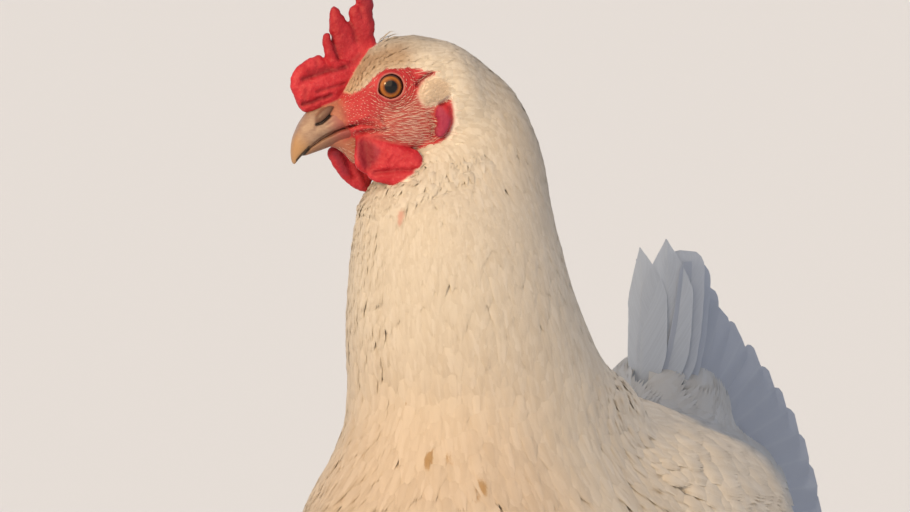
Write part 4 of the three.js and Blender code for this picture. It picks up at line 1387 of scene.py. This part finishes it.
def vaneMesh(axis, across, outward, left, right, thickness, shaft):
    # closed feathers: axis, across and outward are (feather, row, xyz), left and right are half widths by row
    count, rows = axis.shape[:2]
    columns = tail["columns"]
    share = np.linspace(-1, 1, 2 * columns + 1)
    half = np.where(share < 0, right[..., None], left[..., None]) * np.abs(share)
    lift = shaft[..., None] * np.exp(-((share / 0.13) ** 2)) - 0.06 * half * np.abs(share)
    back = np.abs(share) * 0.35 * half  # the barbs sweep towards the tip
    along = unit(np.gradient(axis, axis=1))
    base = axis[:, :, None] + across[:, :, None] * (half * np.sign(share))[..., None]
    base = base + along[:, :, None] * back[..., None]
    wall = thickness * (1 - 0.6 * np.abs(share))
    top = base + outward[:, :, None] * (lift + wall / 2)[..., None]
    under = base + outward[:, :, None] * (np.minimum(lift, 0) - wall / 2)[..., None]
    n = 2 * columns + 1
    points = np.concatenate([top.reshape(count, -1, 3), under.reshape(count, -1, 3)], 1)
    each = rows * n
    r, c = np.meshgrid(np.arange(rows - 1), np.arange(n - 1), indexing="ij")
    a = (r * n + c).ravel()
    upper = np.stack([a, a + n, a + n + 1, a + 1], 1)
    lower = upper[:, ::-1] + each
    r, c, end = np.arange(rows - 1) * n, np.arange(n - 1), (rows - 1) * n
    rims = [np.stack([r + n - 1, r + 2 * n - 1, r + 2 * n - 1 + each, r + n - 1 + each], 1),
            np.stack([r, r + each, r + n + each, r + n], 1), np.stack([c, c + 1, c + 1 + each, c + each], 1),
            np.stack([end + c, end + c + each, end + c + 1 + each, end + c + 1], 1)]
    faces = np.concatenate([upper, lower, *rims])
    faces = (faces[None] + (np.arange(count) * 2 * each)[:, None, None]).reshape(-1, 4)
    flat = np.stack(np.broadcast_arrays(share[None, None] * 0.5, np.linspace(0, 1, rows)[None, :, None]), -1)
    flat = np.concatenate([np.broadcast_to(flat, (count, rows, n, 2)).reshape(count, -1, 2)] * 2, 1)
    return points.reshape(-1, 3), faces, flat.reshape(-1, 2)


def vaneFrame(q, t, word):
    # a feather's points along quill q, and the directions across it and out of it
    side = 1 if word == "left" else -1
    places = q, max(q - 0.5, 0), min(q + 0.5, 8)
    axis, above, below = [quillPoint(np.full_like(t, place), t, word) for place in places]
    along = unit(np.gradient(axis, axis=0))
    across = unit(above - below) if q else np.broadcast_to([-1.0, 0, 0], axis.shape)
    across = unit(across - (across * along).sum(-1, keepdims=True) * along)
    outward = np.cross(along, across)
    outward = outward * np.sign((outward * [side, -0.4, 0.1]).sum(-1, keepdims=True))
    depth = 0.9 * min(q, 3) + 0.28 * max(q - 3, 0) - 1.2  # each feather lies under the one above it
    return axis - outward * depth, unit(np.cross(outward, along)), outward


def vaneHalves(q, side):
    # how wide a feather is above its shaft and below it, as shares of its half width
    if q == 0:
        return 0.7, 1.25
    if side < 0 and q < 4:
        return 0.3, 1
    return (0.6, 1) if 1 < q < 3 else (1, 1)


def tailFeathers(surface, word):
    side = 1 if word == "left" else -1
    rng = np.random.default_rng(31 + side)
    t = np.linspace(0, 1, tail["rows"])
    frames, lefts, rights = [], [], []
    places = tail["places"][::-1] if side > 0 else tail["places"][:2:-1]
    for q in places:
        frames.append(vaneFrame(q, t, word))
        width = np.interp(q, range(9), tail["width"]) * np.minimum(1, ((t + 0.02) / 0.35)) ** 0.7
        if q <= 1:  # the middle ones are pointed
            width = width * np.clip(1 - np.clip((t - 0.66) / 0.34, 0, 1) ** 1.3, 0.02, 1)
        else:
            width = width * np.sqrt(np.clip(1 - np.clip((t - 0.84) / 0.16, 0, 1) ** 2.2, 0.0004, 1))
        for halves, part in zip((lefts, rights)[::side], vaneHalves(q, side)):
            halves.append(width * part * (1 - 0.03 * rng.random(len(t))))
    shaft = np.broadcast_to(tail["shaft"] * (1 - 0.75 * t), (len(places), len(t)))
    shapes = [np.array(values) for values in (*zip(*frames), lefts, rights)]
    points, faces, flat = vaneMesh(*shapes, tail["thickness"], shaft)
    piece = newObject("tail_feathers_" + word, points * mm, [faces])
    perFeather = len(points) // len(places)
    patch = np.repeat(surface.nearest(points[::perFeather] * mm), perFeather, 0)
    corners = cornersOf(piece)
    # outer marks the outer feathers, which are painted in a darker shade
    keep(piece, outer=np.repeat(ease(0.8, 2.6, np.array(places)), perFeather))
    for name, flatMap in (("OFBake", patch + (flat - [0, 0.5]) * patchSize), ("vane", flat)):
        layer = piece.data.uv_layers.new(name=name)
        layer.data.foreach_set("uv", flatMap[corners].astype(np.float32).ravel())
    piece.data.set_sharp_from_angle(angle=math.radians(60))
    return piece


def vanePaint():
    # the bluish greys are painted shade on a white tail
    paint = Paint("vane", (0.70, 0.73, 0.77), 0.6)
    uv = paint.node("UVMap", {"uv_map": "vane"}, {})
    u, v = paint.node("SeparateXYZ", {}, {0: uv}), paint.node("SeparateXYZ", {}, {0: uv}, 1)
    side = paint.math("ABSOLUTE", u)
    slant = v - side * 0.42  # the barbs run outwards and towards the tip
    barb = paint.math("SINE", slant * 620.0)
    streak = paint.noise(paint.node("CombineXYZ", {}, {0: u * 2.0, 1: slant * 60.0}), 1.0, 2, 0.5)
    shade = paint.mix(paint.ramp(streak, 0.3, 0.7), *tail["inner"])
    shade = paint.mix(paint.attribute("outer"), shade, tail["outer"])
    paint.feed("Base Color", paint.mix((1 - paint.ramp(side, 0.0, 0.05)) * 0.3, shade, tail["quill"]))
    paint.bump(barb * 0.2 + streak, 0.22, 0.0006)
    paint.thin(tail["thin"], tail["glow"])
    return paint.material


lamps = {  # azimuth, elevation and breadth in degrees, then strength and colour
    "key": (-6, 18, 14, 1.5, (1.0, 0.69, 0.33)),
    "broad": (-6, 20, 100, 2.9, (1.0, 0.72, 0.43)),
}
studio = {"light": (0.90, 0.92, 1.0), "strength": 0.6, "floor": (0.75, 0.79, 0.83), "radius": 30}


def addLights():
    world = bpy.data.worlds.new("studio")
    bpy.context.scene.world = world
    world.use_nodes = True
    world.node_tree.nodes["Background"].inputs["Color"].default_value = (*studio["light"], 1)
    world.node_tree.nodes["Background"].inputs["Strength"].default_value = studio["strength"]
    for name, (azimuth, elevation, breadth, energy, colour) in lamps.items():
        data = bpy.data.lights.new(name, "SUN")
        data.angle, data.energy, data.color = math.radians(breadth), energy, colour
        lamp = bpy.data.objects.new(name, data)
        bpy.context.scene.collection.objects.link(lamp)
        lamp.rotation_mode = "QUATERNION"
        lamp.rotation_quaternion = direction(azimuth, elevation).to_track_quat("Z", "Y")


def addFloor():
    turns = 96
    angle = np.linspace(0, 2 * np.pi, turns, endpoint=False)
    rim = np.stack([studio["radius"] * np.cos(angle), studio["radius"] * np.sin(angle), 0 * angle], 1)
    floor = newObject("floor", rim, [np.arange(turns)[None]])
    floor.data.materials.append(Paint("paleFloor", studio["floor"], 0.8).material)


addCamera()
skin, surface, fullHead = makeSkin()
plumage = makeCoat(skin, surface, fullHead)
finishPiece(faceBristles(skin, surface, fullHead), bristlePaint(), "plumage")
irisPaint, hornPaint, vaneFinish = eyePaint(), billPaint(), vanePaint()
for word, side in (("left", 1), ("right", -1)):
    finishPiece(eyeball(side, word), irisPaint, "iris", "eye_" + word)
    finishPiece(flightFeathers(skin, surface, word), plumage, "plumage", "wing_tip_" + word)
    finishPiece(tailFeathers(surface, word), vaneFinish, "plumage", "tail_" + word)
for name in ("bill_upper", "bill_lower"):
    finishPiece(billPiece(name), hornPaint, "bill", name)
makeClaws()
addLights()
addFloor()
bpy.context.scene.view_settings.view_transform = "Standard"
